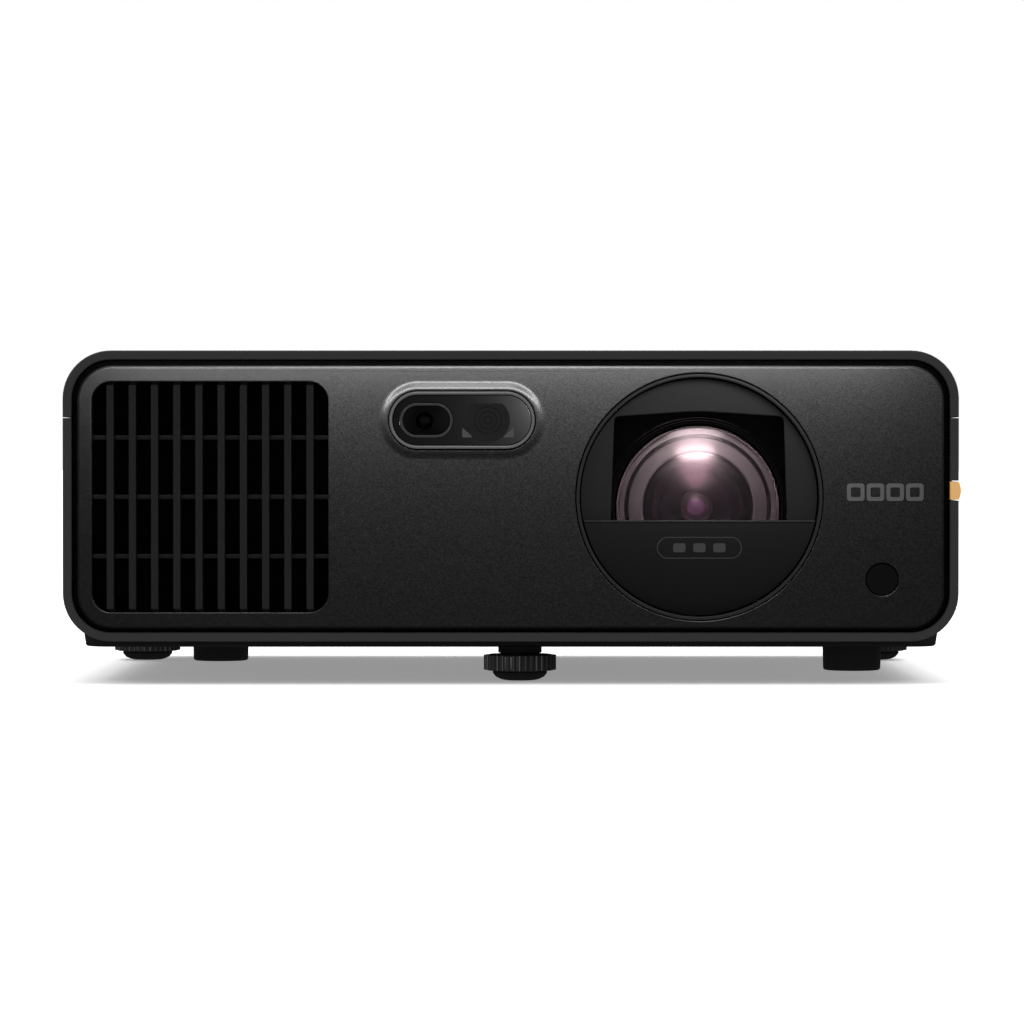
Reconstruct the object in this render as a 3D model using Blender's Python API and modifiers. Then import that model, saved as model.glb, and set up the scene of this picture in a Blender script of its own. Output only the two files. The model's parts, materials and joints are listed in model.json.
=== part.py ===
"""A short-throw home projector, in metres, +Z up, with its lens facing -Y.

The casing is two mouldings that part above mid-height. A front panel and a rear panel close its
ends, and it stands on three screw feet. The origin is on the floor, at the middle of the object.
"""

import math

import bmesh
import bpy
from mathutils import Matrix, Vector

# ---- Driving dimensions ---------------------------------------------------------------------

BODY_X = -0.0004  # the casing's own middle: the side tab stands proud on the right only
BODY_WIDTH = 0.335
BODY_HEIGHT = 0.1088
UNDERSIDE_Z = 0.016
CORNER_RADIUS = 0.018
WALL = 0.0034
FRONT_RIM_Y = -0.1253
REAR_RIM_Y = 0.128
PARTING_Z = 0.0997
GAP = 0.0003  # air left between pieces that touch

PANEL_FACE_Y = -0.126
PANEL_WIDTH = 0.324
PANEL_HEIGHT = 0.098
PANEL_Z = 0.070
PANEL_RADIUS = 0.0128

GRILLE_X = -0.1124
GRILLE_WIDTH = 0.0885
GRILLE_HEIGHT = 0.0863
GRILLE_RADIUS = 0.0073
BAR_PITCH = 0.0083
BAR_WIDTH = 0.0027
UPRIGHT_BARS = 10
CROSS_PITCH = 0.02225
CROSS_BAR = 0.00175

SENSOR_X = -0.0182
SENSOR_Z = 0.0987
SENSOR_WIDTH = 0.0543
SENSOR_HEIGHT = 0.0213
CAMERA_X = -0.0315
RANGE_SENSOR_X = -0.0085

LENS_X = 0.0705
RING_Z = 0.070
RING_RADIUS = 0.046
LENS_Z = 0.0660
GLASS_RIM_Y = -0.109  # the plane of the front glass's rim
SILL_Z = 0.0613

IR_X = 0.1388
IR_Z = 0.0392
IR_RADIUS = 0.006
BADGE_X = 0.1399
BADGE_Z = 0.0718
TAB_Z = 0.0724
TAB_HEIGHT = 0.0068
TAB_LENGTH = 0.028

PLINTH_Z = 0.0129
PLINTH_TOP_Z = 0.0205
PLINTH_WIDTH = 0.3236
FRONT_FOOT = (0.0035, -0.0913)
REAR_FEET = ((-0.1527, 0.0867), (0.1527, 0.0867))
COLLAR_Z = 0.0104
KNOB_RADIUS = 0.0138
KNOB_TOP_Z = 0.0099
KNOB_BOTTOM_Z = 0.0037
SCREW_RADIUS = 0.0039
FOOT_BORE = 0.0043
CEILING_BOSSES = (  # x, y and radius of each
    (0.1302, -0.0883, 0.0113),
    (-0.1160, -0.0053, 0.0113),
    (0.0039, 0.0850, 0.0090),
)
BOSS_Z = 0.0037

SIDE_FAN = (0.030, 0.0625)  # y, z of the fan behind the right wall
LEFT_VENT = (0.045, 0.062)
REAR_PANEL_Y = 0.1232
REAR_PANEL_THICK = 0.003
PORT_Z = 0.094
KEYPAD_Y = 0.062
NAVIGATION_X = 0.088
POWER_BUTTON_X = 0.122
BUTTON_TOP = 0.0004  # how far a key stands above the cover

ARC_STEPS = 6
ROUND_STEPS = 32

HALF_WIDTH = BODY_WIDTH / 2
TOP_Z = UNDERSIDE_Z + BODY_HEIGHT
INNER_TOP_Z = TOP_Z - WALL
BODY_DEPTH = REAR_RIM_Y - FRONT_RIM_Y
BODY_MIDDLE_Y = (REAR_RIM_Y + FRONT_RIM_Y) / 2

# A piece's own +Z turned to face each way; front, back and sides keep the outline upright.
FACING = {
    "up": (0, 0, 0),
    "down": (math.pi, 0, 0),
    "front": (math.pi / 2, 0, 0),
    "right": (math.pi / 2, 0, math.pi / 2),
    "back": (math.pi / 2, 0, math.pi),
    "left": (math.pi / 2, 0, -math.pi / 2),
}

# ---- Scene, materials and modelling tools ---------------------------------------------------

for stray in list(bpy.data.objects):
    bpy.data.objects.remove(stray, do_unlink=True)

PROJECTOR = bpy.data.collections.new("home_projector")
CUTTERS = bpy.data.collections.new("cutters")
for collection in (PROJECTOR, CUTTERS):
    bpy.context.scene.collection.children.link(collection)

casing_frame = bpy.data.objects.new("casing_frame", None)
casing_frame.location = (BODY_X, 0, 0)
PROJECTOR.objects.link(casing_frame)


def material(name, colour, roughness, metallic=0.0):
    made = bpy.data.materials.new(name)
    made.use_nodes = True
    shader = made.node_tree.nodes["Principled BSDF"]
    shader.inputs["Base Color"].default_value = (*colour, 1)
    shader.inputs["Roughness"].default_value = roughness
    shader.inputs["Metallic"].default_value = metallic
    return made


CASE_BLACK = material("case_black_abs", (0.030, 0.030, 0.032), 0.5)
PANEL_BLACK = material("panel_black_paint", (0.040, 0.040, 0.041), 0.45)
SATIN_BLACK = material("satin_black_abs", (0.022, 0.022, 0.023), 0.4)
SMOKED = material("smoked_polycarbonate", (0.010, 0.010, 0.012), 0.08)
GLASS = material("coated_glass", (0.10, 0.07, 0.08), 0.05)
AMBER = material("amber_abs", (0.70, 0.39, 0.12), 0.45)
BADGE_GREY = material("badge_grey", (0.10, 0.10, 0.10), 0.4)
RUBBER = material("rubber", (0.020, 0.020, 0.020), 0.8)
FOAM = material("filter_foam", (0.012, 0.012, 0.012), 0.95)
ALUMINIUM = material("aluminium", (0.60, 0.61, 0.62), 0.35, 1.0)
STEEL = material("steel", (0.55, 0.55, 0.56), 0.3, 1.0)
BOARD_GREEN = material("circuit_board", (0.02, 0.11, 0.05), 0.5)
NYLON = material("white_nylon", (0.75, 0.74, 0.70), 0.5)
FAN_BLACK = material("fan_black", (0.02, 0.02, 0.02), 0.5)


def add(name, mesh, centre, facing, finish):
    """Puts a mesh in the projector, hung from the casing's frame."""
    made = bpy.data.objects.new(name, mesh)
    PROJECTOR.objects.link(made)
    made.parent = casing_frame
    made.location = centre
    made.rotation_euler = FACING[facing]
    made.data.materials.append(finish)
    return made


def arc(centre, radius, start, end, steps=ARC_STEPS):
    """Points along an arc, with its angles in degrees."""
    angles = [math.radians(start + (end - start) * step / steps) for step in range(steps + 1)]
    return [(centre[0] + radius * math.cos(a), centre[1] + radius * math.sin(a)) for a in angles]


def rounded_rectangle(width, height, radius, centre=(0, 0), steps=ARC_STEPS):
    """A rectangle with round corners, anticlockwise; a pill where radius is half its height."""
    points = []
    for turn, (side_x, side_y) in enumerate(((1, 1), (-1, 1), (-1, -1), (1, -1))):
        middle = (
            centre[0] + side_x * (width / 2 - radius),
            centre[1] + side_y * (height / 2 - radius),
        )
        for point in arc(middle, radius, 90 * turn, 90 * turn + 90, steps):
            if not points or math.dist(point, points[-1]) > 1e-7:
                points.append(point)
    if math.dist(points[0], points[-1]) < 1e-7:
        points.pop()
    return points


def rectangle(width, height, centre=(0, 0)):
    x, y = centre
    return [
        (x + width / 2, y + height / 2),
        (x - width / 2, y + height / 2),
        (x - width / 2, y - height / 2),
        (x + width / 2, y - height / 2),
    ]


def circle(radius, centre=(0, 0), steps=ROUND_STEPS):
    return arc(centre, radius, 0, 360, steps)[:-1]


def plate(name, outlines, thickness, centre, facing, finish):
    """Flat stock: the first outline is its edge and the rest are holes. centre is mid-thickness."""
    curve = bpy.data.curves.new(name, "CURVE")
    curve.dimensions = "2D"
    curve.fill_mode = "BOTH"
    curve.extrude = thickness / 2
    for outline in outlines:
        spline = curve.splines.new("POLY")
        spline.points.add(len(outline) - 1)
        for point, (x, y) in zip(spline.points, outline):
            point.co = (x, y, 0, 1)
        spline.use_cyclic_u = True
    drawn = bpy.data.objects.new(name + "_outline", curve)
    CUTTERS.objects.link(drawn)
    graph = bpy.context.evaluated_depsgraph_get()
    mesh = bpy.data.meshes.new_from_object(drawn.evaluated_get(graph))
    bpy.data.objects.remove(drawn)
    welded = bmesh.new()
    welded.from_mesh(mesh)
    bmesh.ops.remove_doubles(welded, verts=welded.verts, dist=1e-6)
    bmesh.ops.recalc_face_normals(welded, faces=welded.faces)
    welded.to_mesh(mesh)
    welded.free()
    mesh.materials.clear()
    return add(name, mesh, centre, facing, finish)


def box(name, size, centre, finish):
    """A block of this size along X, Y and Z."""
    mesh = bpy.data.meshes.new(name)
    block = bmesh.new()
    bmesh.ops.create_cube(block, size=1, matrix=Matrix.Diagonal((*size, 1)))
    block.to_mesh(mesh)
    block.free()
    return add(name, mesh, centre, "up", finish)


def turned(name, profile, centre, facing, finish, steps=ROUND_STEPS):
    """A turned piece from (radius, height) points, down its outer side and back up any bore."""
    on_axis = profile[0][0] == 0 and profile[-1][0] == 0
    edges = [(i, i + 1) for i in range(len(profile) - 1)]
    if not on_axis:
        edges.append((len(profile) - 1, 0))
    mesh = bpy.data.meshes.new(name)
    mesh.from_pydata([(radius, 0, height) for radius, height in profile], edges, [])
    made = add(name, mesh, centre, facing, finish)
    screw = made.modifiers.new("turn", "SCREW")
    screw.steps = screw.render_steps = steps
    screw.use_merge_vertices = True
    screw.merge_threshold = 1e-5
    return made


def combine(piece, operation, *others):
    """Cuts the others from a piece, or joins them to it, and leaves them out of the object."""
    for other in others:
        boolean = piece.modifiers.new(other.name, "BOOLEAN")
        boolean.operation = operation
        boolean.object = other
        other.hide_render = True
        other.display_type = "WIRE"
        PROJECTOR.objects.unlink(other)
        CUTTERS.objects.link(other)
    return piece


def cut(piece, *others):
    return combine(piece, "DIFFERENCE", *others)


def join(piece, *others):
    return combine(piece, "UNION", *others)


# ---- Casing ---------------------------------------------------------------------------------


def channel(open_z, closed_z, half_width, radius, wall):
    """The casing's U section, whose closed side is at closed_z, and whose edges end at open_z."""
    up = math.copysign(1, open_z - closed_z)
    start = 180 if up > 0 else 0
    outline = []
    for inset in (0, wall):
        middle_z = closed_z + up * radius
        left = (-half_width + radius, middle_z)
        right = (half_width - radius, middle_z)
        first, second = (left, right) if up > 0 else (right, left)
        side = -1 if up > 0 else 1
        path = [(side * (half_width - inset), open_z)]
        path += arc(first, radius - inset, start, start + 90)
        path += arc(second, radius - inset, start + 90, start + 180)
        path.append((-side * (half_width - inset), open_z))
        outline += path if inset == 0 else path[::-1]
    return outline


def round_boss(name, at, profile):
    """A solid boss under the casing, from (radius, height) points down its side."""
    return turned(
        name, [(0, profile[0][1]), *profile, (0, profile[-1][1])], (*at, 0), "up", CASE_BLACK, 24
    )


def blind_hole(name, at, radius, top_z):
    """Its facets are turned half a step from the boss's, so that no corner meets another."""
    hole = round_boss(name, at, [(radius, top_z), (radius, -0.002)])
    hole.rotation_euler = (0, 0, math.radians(7.5))
    return hole


def make_bottom_case():
    outline = channel(PARTING_Z - GAP / 2, UNDERSIDE_Z, HALF_WIDTH, CORNER_RADIUS, WALL)
    case = plate(
        "bottom_case", [outline], BODY_DEPTH, (0, BODY_MIDDLE_Y, 0), "front", CASE_BLACK
    )
    # The plinth is set back from the rim and carries the feet.
    plinth_front, plinth_rear = FRONT_RIM_Y + 0.024, REAR_RIM_Y - 0.012
    plinth = plate(
        "plinth",
        [rounded_rectangle(PLINTH_WIDTH, plinth_rear - plinth_front, 0.012)],
        PLINTH_TOP_Z - PLINTH_Z,
        (0, (plinth_front + plinth_rear) / 2, (PLINTH_TOP_Z + PLINTH_Z) / 2),
        "up",
        CASE_BLACK,
    )
    join(case, plinth)
    # Each rear foot's boss reaches out past the plinth as a round ear; the front one doesn't.
    collar, ear = 0.0083, 0.0146
    ear_z, boss_top, bore_top = PLINTH_Z + 0.0002, 0.0345, 0.0330
    join(case, round_boss("front_foot_boss", FRONT_FOOT, [(collar, boss_top), (collar, COLLAR_Z)]))
    for number, at in enumerate(REAR_FEET):
        profile = [(ear, boss_top), (ear, ear_z), (collar, ear_z), (collar, COLLAR_Z)]
        join(case, round_boss(f"rear_foot_boss_{number}", at, profile))
    for number, at in enumerate((FRONT_FOOT, *REAR_FEET)):
        cut(case, blind_hole(f"foot_bore_{number}", at, FOOT_BORE, bore_top))
    # Each ceiling-mount boss has a blind hole for an M4 insert.
    for number, (x, y, radius) in enumerate(CEILING_BOSSES):
        profile = [
            (radius, 0.0185),
            (radius - 0.0003, BOSS_Z + 0.0008),
            (radius - 0.0009, BOSS_Z),
        ]
        join(case, round_boss(f"ceiling_boss_{number}", (x, y), profile))
        cut(case, blind_hole(f"ceiling_hole_{number}", (x, y), 0.0032, 0.0135))
    # Vents in both side walls, and a notch for the amber tab at the front of the right wall.
    for side, (y, z), width, height in (
        (1, SIDE_FAN, 0.0786, 0.0606),
        (-1, LEFT_VENT, 0.0906, 0.0506),
    ):
        vent = plate(
            f"side_vent_{side}",
            [rounded_rectangle(width, height, 0.004, steps=3)],
            0.012,
            (side * (HALF_WIDTH - WALL / 2), y, z),
            "right",
            CASE_BLACK,
        )
        cut(case, vent)
    notch = box(
        "tab_notch",
        (0.012, TAB_LENGTH * 2, TAB_HEIGHT + 2 * GAP),
        (HALF_WIDTH, FRONT_RIM_Y, TAB_Z),
        CASE_BLACK,
    )
    cut(case, notch)


def key_outlines():
    """Each key's name, place on the cover and cap outline."""
    ring, length, width = 0.0145, 0.015, 0.0062
    upright = rounded_rectangle(width, length, 0.003, steps=3)
    level = rounded_rectangle(length, width, 0.003, steps=3)
    keys = [
        ("power_button", (POWER_BUTTON_X, KEYPAD_Y), circle(0.0062, steps=24)),
        ("ok_button", (NAVIGATION_X, KEYPAD_Y), circle(0.0062, steps=24)),
    ]
    keys.append(("up_button", (NAVIGATION_X, KEYPAD_Y + ring), level))
    keys.append(("down_button", (NAVIGATION_X, KEYPAD_Y - ring), level))
    keys.append(("left_button", (NAVIGATION_X - ring, KEYPAD_Y), upright))
    keys.append(("right_button", (NAVIGATION_X + ring, KEYPAD_Y), upright))
    return keys


def grown(outline, by):
    """An outline about its own middle, made larger all round."""
    points = []
    for x, y in outline:
        length = math.hypot(x, y)
        points.append((x * (1 + by / length), y * (1 + by / length)))
    return points


def make_top_cover():
    outline = channel(PARTING_Z + GAP / 2, TOP_Z, HALF_WIDTH, CORNER_RADIUS, WALL)
    cover = plate("top_cover", [outline], BODY_DEPTH, (0, BODY_MIDDLE_Y, 0), "front", CASE_BLACK)
    for name, at, cap in key_outlines():
        hole = plate(
            name + "_hole", [grown(cap, 0.0004)], WALL * 3, (*at, TOP_Z - WALL / 2), "up", CASE_BLACK
        )
        cut(cover, hole)


def make_keypad():
    """Six keys with a flange under the cover and a stem that stands over the keypad board."""
    board_top = 0.1156
    for name, at, cap in key_outlines():
        key = plate(
            name,
            [cap],
            0.0052,
            (*at, TOP_Z + BUTTON_TOP - 0.0026),
            "up",
            SATIN_BLACK,
        )
        flange = plate(
            name + "_flange", [grown(cap, 0.0009)], 0.0012, (*at, INNER_TOP_Z - 0.0010), "up", SATIN_BLACK
        )
        stem = box(name + "_stem", (0.003, 0.003, 0.0040), (*at, board_top + 0.0029), SATIN_BLACK)
        join(key, flange, stem)
    box(
        "keypad_board",
        (0.064, 0.046, 0.0016),
        ((NAVIGATION_X + POWER_BUTTON_X) / 2 - 0.003, KEYPAD_Y, board_top - 0.0008),
        BOARD_GREEN,
    )


# ---- Front panel and what it carries --------------------------------------------------------


def make_front_panel():
    def openings(margin):
        return [
            rounded_rectangle(
                GRILLE_WIDTH + margin,
                GRILLE_HEIGHT + margin,
                GRILLE_RADIUS + margin / 2,
                (GRILLE_X, PANEL_Z),
            ),
            rounded_rectangle(
                SENSOR_WIDTH + 0.0006 + margin,
                SENSOR_HEIGHT + 0.0006 + margin,
                (SENSOR_HEIGHT + 0.0006 + margin) / 2,
                (SENSOR_X, SENSOR_Z),
            ),
            circle(RING_RADIUS + 0.0004 + margin / 2, (LENS_X, RING_Z), 48),
            circle(IR_RADIUS + 0.0003 + margin / 2, (IR_X, IR_Z), 20),
        ]

    panel = plate(
        "front_panel",
        [rounded_rectangle(PANEL_WIDTH, PANEL_HEIGHT, PANEL_RADIUS, (0, PANEL_Z)), *openings(0)],
        0.004,
        (0, PANEL_FACE_Y + 0.002, 0),
        "front",
        PANEL_BLACK,
    )
    flange = plate(
        "front_panel_flange",
        [
            rounded_rectangle(
                BODY_WIDTH - 2 * WALL - 0.0008,
                BODY_HEIGHT - 2 * WALL - 0.0008,
                CORNER_RADIUS - WALL - 0.0004,
                (0, UNDERSIDE_Z + BODY_HEIGHT / 2),
            ),
            *openings(0.0022),
        ],
        0.003,
        (0, PANEL_FACE_Y + 0.0045, 0),
        "front",
        PANEL_BLACK,
    )
    join(panel, flange)


def make_front_grille():
    """Upright bars stand proud of a frame clamped behind the panel, with level bars behind them."""
    frame_front = PANEL_FACE_Y + 0.0063
    frame_back = frame_front + 0.003
    grille = plate(
        "front_grille",
        [
            rounded_rectangle(GRILLE_WIDTH + 0.006, GRILLE_HEIGHT + 0.006, 0.004, (GRILLE_X, PANEL_Z), 3),
            rounded_rectangle(GRILLE_WIDTH, GRILLE_HEIGHT, 0.002, (GRILLE_X, PANEL_Z), 2),
        ],
        frame_back - frame_front,
        (0, (frame_front + frame_back) / 2, 0),
        "front",
        CASE_BLACK,
    )
    bar_front, proud_half, tail_half = PANEL_FACE_Y + 0.0007, GRILLE_HEIGHT / 2 - 0.0013, GRILLE_HEIGHT / 2
    side_view = [
        (bar_front, PANEL_Z - proud_half),
        (frame_front + 0.0004, PANEL_Z - proud_half),
        (frame_front + 0.0004, PANEL_Z - tail_half - 0.001),
        (frame_back - 0.0004, PANEL_Z - tail_half - 0.001),
        (frame_back - 0.0004, PANEL_Z + tail_half + 0.001),
        (frame_front + 0.0004, PANEL_Z + tail_half + 0.001),
        (frame_front + 0.0004, PANEL_Z + proud_half),
        (bar_front, PANEL_Z + proud_half),
    ]
    for number in range(UPRIGHT_BARS):
        x = GRILLE_X + BAR_PITCH * (number - (UPRIGHT_BARS - 1) / 2)
        join(grille, plate(f"grille_bar_{number}", [side_view], BAR_WIDTH, (x, 0, 0), "right", CASE_BLACK))
    for number in (-1, 0, 1):
        cross_bar = box(
            f"grille_cross_bar_{number}",
            (GRILLE_WIDTH + 0.002, 0.0016, CROSS_BAR),
            (GRILLE_X, frame_front + 0.0016, PANEL_Z + CROSS_PITCH * number),
            CASE_BLACK,
        )
        join(grille, cross_bar)
    box(
        "air_filter",
        (GRILLE_WIDTH + 0.004, 0.003, GRILLE_HEIGHT + 0.004),
        (GRILLE_X, frame_back + 0.0018, PANEL_Z),
        FOAM,
    )


def make_sensor():
    """A pill bezel round a smoked window, with a camera behind its hood and a range sensor."""

    def pill(width, height, x):
        return rounded_rectangle(width, height, height / 2, (x, SENSOR_Z))

    plate(
        "sensor_bezel",
        [
            pill(SENSOR_WIDTH, SENSOR_HEIGHT, SENSOR_X),
            pill(SENSOR_WIDTH - 0.0022, SENSOR_HEIGHT - 0.0022, SENSOR_X),
        ],
        0.0065,
        (0, PANEL_FACE_Y - 0.002 + 0.00325, 0),
        "front",
        SATIN_BLACK,
    )
    plate(
        "sensor_window",
        [
            pill(SENSOR_WIDTH - 0.0028, SENSOR_HEIGHT - 0.0028, SENSOR_X),
            pill(0.0200, 0.0132, CAMERA_X),
        ],
        0.0015,
        (0, PANEL_FACE_Y - 0.0005, 0),
        "front",
        SMOKED,
    )
    plate(
        "camera_hood",
        [pill(0.0194, 0.0126, CAMERA_X), pill(0.0176, 0.0108, CAMERA_X)],
        0.0075,
        (0, PANEL_FACE_Y + 0.0022, 0),
        "front",
        SATIN_BLACK,
    )
    turned(
        "camera_module",
        [(0, 0.001), (0.0036, 0.001), (0.0040, 0), (0.0040, -0.006), (0.0070, -0.006), (0.0070, -0.010), (0, -0.010)],
        (CAMERA_X, PANEL_FACE_Y + 0.0058, SENSOR_Z),
        "front",
        SMOKED,
        20,
    )
    turned(
        "range_sensor",
        [(0, 0.0016), (0.0045, 0.0012), (0.0078, 0), (0.0078, -0.008), (0, -0.008)],
        (RANGE_SENSOR_X, PANEL_FACE_Y + 0.0035, SENSOR_Z),
        "front",
        SMOKED,
        20,
    )


def make_panel_fittings():
    turned(
        "ir_window",
        [(0, 0), (IR_RADIUS - 0.0002, 0), (IR_RADIUS, -0.0003), (IR_RADIUS, -0.005), (0, -0.005)],
        (IR_X, PANEL_FACE_Y + 0.0003, IR_Z),
        "front",
        SMOKED,
        20,
    )
    plate(
        "badge_plate",
        [rounded_rectangle(0.0299, 0.0082, 0.0015, (BADGE_X, BADGE_Z), 2)],
        0.0004,
        (0, PANEL_FACE_Y - GAP - 0.0002, 0),
        "front",
        BADGE_GREY,
    )
    # The tab fills the wall's notch; its outer face is crowned and stands proud of the wall.
    inner, outer, crown = HALF_WIDTH - WALL, HALF_WIDTH, 0.0008
    half = TAB_HEIGHT / 2
    swing = math.degrees(2 * math.atan(crown / half))
    radius = (half**2 + crown**2) / (2 * crown)
    outline = [(inner, TAB_Z + half), (inner, TAB_Z - half)]
    outline += arc((outer + crown - radius, TAB_Z), radius, -swing, swing)
    plate(
        "accent_tab",
        [outline],
        TAB_LENGTH - GAP,
        (0, FRONT_RIM_Y + (TAB_LENGTH - GAP) / 2, 0),
        "front",
        AMBER,
    )


# ---- Lens -----------------------------------------------------------------------------------


def make_lens_surround():
    turned(
        "lens_ring",
        [(RING_RADIUS, 0), (RING_RADIUS, -0.012), (0.0448, -0.012), (0.0448, 0)],
        (LENS_X, PANEL_FACE_Y - 0.0002, RING_Z),
        "front",
        SATIN_BLACK,
        48,
    )
    # The shroud is a disc with an arched window; its lower part is covered by the sill.
    window_half, shoulder_z, crown_z = 0.0317, 0.1000, 0.1018
    half_chord = window_half - 0.002
    rise = crown_z - shoulder_z
    radius = (half_chord**2 + rise**2) / (2 * rise)
    swing = math.degrees(math.asin(half_chord / radius))
    foot_z = SILL_Z - 0.0125
    window = [
        (LENS_X - window_half + 0.002, shoulder_z),
        (LENS_X - window_half, shoulder_z - 0.002),
        (LENS_X - window_half - 0.0012, foot_z),
        (LENS_X + window_half + 0.0012, foot_z),
        (LENS_X + window_half, shoulder_z - 0.002),
    ]
    window += arc((LENS_X, crown_z - radius), radius, 90 - swing, 90 + swing)[:-1]
    plate(
        "lens_shroud",
        [circle(0.0441, (LENS_X, RING_Z), 48), window],
        0.004,
        (0, PANEL_FACE_Y + 0.0065, 0),
        "front",
        SATIN_BLACK,
    )
    sill_drop = RING_Z - SILL_Z
    start = math.degrees(math.asin(sill_drop / 0.0441))
    plate(
        "lens_sill",
        [arc((LENS_X, RING_Z), 0.0441, 180 + start, 360 - start, 24)],
        0.0040,
        (0, PANEL_FACE_Y + 0.0020, 0),
        "front",
        SATIN_BLACK,
    )


def make_lens():
    """The fixed barrel, its glass, and the cell that a geared ring moves to focus."""
    axis = (LENS_X, GLASS_RIM_Y, LENS_Z)
    turned(
        "lens_barrel",
        [
            (0.0334, 0.003),
            (0.0334, -0.012),
            (0.0262, -0.026),
            (0.0262, -0.060),
            (0.0340, -0.060),
            (0.0340, -0.066),
            (0.0195, -0.066),
            (0.0195, -0.016),
            (0.0312, -0.006),
            (0.0312, 0.003),
        ],
        axis,
        "front",
        SATIN_BLACK,
    )
    rim, front_sag, back_sag, dome_steps = 0.0308, 0.0100, 0.0072, 6
    front = [
        (rim * n / dome_steps, 0.0005 + front_sag * (1 - (n / dome_steps) ** 2))
        for n in range(dome_steps + 1)
    ]
    back_rim = 0.0285
    back = [
        (back_rim * n / dome_steps, -0.0015 + back_sag * (1 - (n / dome_steps) ** 2))
        for n in range(dome_steps, -1, -1)
    ]
    turned("front_lens", [*front, (rim, -0.0015), *back], axis, "front", GLASS)
    turned(
        "lens_baffle",
        [
            (0.0308, -0.0020),
            (0.0308, -0.0050),
            (0.0206, -0.0125),
            (0.0200, -0.0100),
            (0.0255, -0.0060),
            (0.0273, -0.0060),
            (0.0273, -0.0035),
            (0.0297, -0.0020),
        ],
        axis,
        "front",
        SATIN_BLACK,
    )
    turned(
        "inner_lens",
        [(0, -0.0055), (0.0095, -0.0072), (0.0150, -0.0098), (0.0190, -0.0128), (0.0190, -0.0150), (0, -0.0150)],
        axis,
        "front",
        GLASS,
    )
    turned(
        "focus_cell",
        [(0.0190, -0.022), (0.0190, -0.052), (0.0150, -0.052), (0.0150, -0.022)],
        axis,
        "front",
        FAN_BLACK,
    )
    turned(
        "rear_lens",
        [(0, -0.033), (0.008, -0.0338), (0.0146, -0.036), (0.0146, -0.039), (0.008, -0.0412), (0, -0.042)],
        axis,
        "front",
        GLASS,
        24,
    )


GEAR_MODULE = 0.001
RING_TEETH = 60
PINION_TEETH = 12
GEAR_Y = GLASS_RIM_Y + 0.040
GEAR_WIDTH = 0.008
PINION_ANGLE = math.radians(135)


def gear_outline(teeth, first_tooth=0.0):
    """Straight-flanked teeth, thinner than half the pitch so that two wheels mesh with play."""
    pitch_radius = GEAR_MODULE * teeth / 2
    tooth = 2 * math.pi / teeth
    tip = (pitch_radius + 0.85 * GEAR_MODULE, 0.10 * tooth)
    root = (pitch_radius - 1.15 * GEAR_MODULE, 0.27 * tooth)
    points = []
    for n in range(teeth):
        middle = first_tooth + n * tooth
        for radius, half_angle in (
            (root[0], -root[1]),
            (tip[0], -tip[1]),
            (tip[0], tip[1]),
            (root[0], root[1]),
        ):
            angle = middle + half_angle
            points.append((radius * math.cos(angle), radius * math.sin(angle)))
    return points


def make_focus_drive():
    # A tooth of the ring points at the pinion, and a gap of the pinion faces it.
    plate(
        "focus_gear",
        [gear_outline(RING_TEETH, PINION_ANGLE), circle(0.0266)],
        GEAR_WIDTH,
        (LENS_X, GEAR_Y, LENS_Z),
        "front",
        NYLON,
    )
    reach = GEAR_MODULE * (RING_TEETH + PINION_TEETH) / 2
    at = (LENS_X + reach * math.cos(PINION_ANGLE), LENS_Z + reach * math.sin(PINION_ANGLE))
    facing_ring = PINION_ANGLE + math.pi
    half_tooth = math.pi / PINION_TEETH
    pinion = plate(
        "focus_pinion",
        [gear_outline(PINION_TEETH, facing_ring + half_tooth)],
        GEAR_WIDTH,
        (at[0], GEAR_Y, at[1]),
        "front",
        NYLON,
    )
    shaft = turned(
        "pinion_shaft",
        [(0, 0), (0.0015, 0), (0.0015, -0.014), (0, -0.014)],
        (at[0], GEAR_Y, at[1]),
        "front",
        STEEL,
        12,
    )
    join(pinion, shaft)
    turned(
        "focus_motor",
        [(0.0080, 0), (0.0080, -0.013), (0.0019, -0.013), (0.0019, 0)],
        (at[0], GEAR_Y + GEAR_WIDTH / 2 + 0.0010, at[1]),
        "front",
        STEEL,
        24,
    )


# ---- Light engine ---------------------------------------------------------------------------


def heat_sink(name, width, reach, height, base, centre, fins):
    """An extrusion standing upright: a base plate at the front, with fins reaching back from it."""
    pitch = width / (fins - 0.5)
    outline = [(-width / 2, -reach / 2), (width / 2, -reach / 2)]
    for n in range(fins):
        right = width / 2 - n * pitch
        outline += [(right, reach / 2), (right - pitch / 2, reach / 2)]
        if n < fins - 1:
            outline += [(right - pitch / 2, base - reach / 2), (right - pitch, base - reach / 2)]
    return plate(name, [outline], height, centre, "up", ALUMINIUM)


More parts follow.
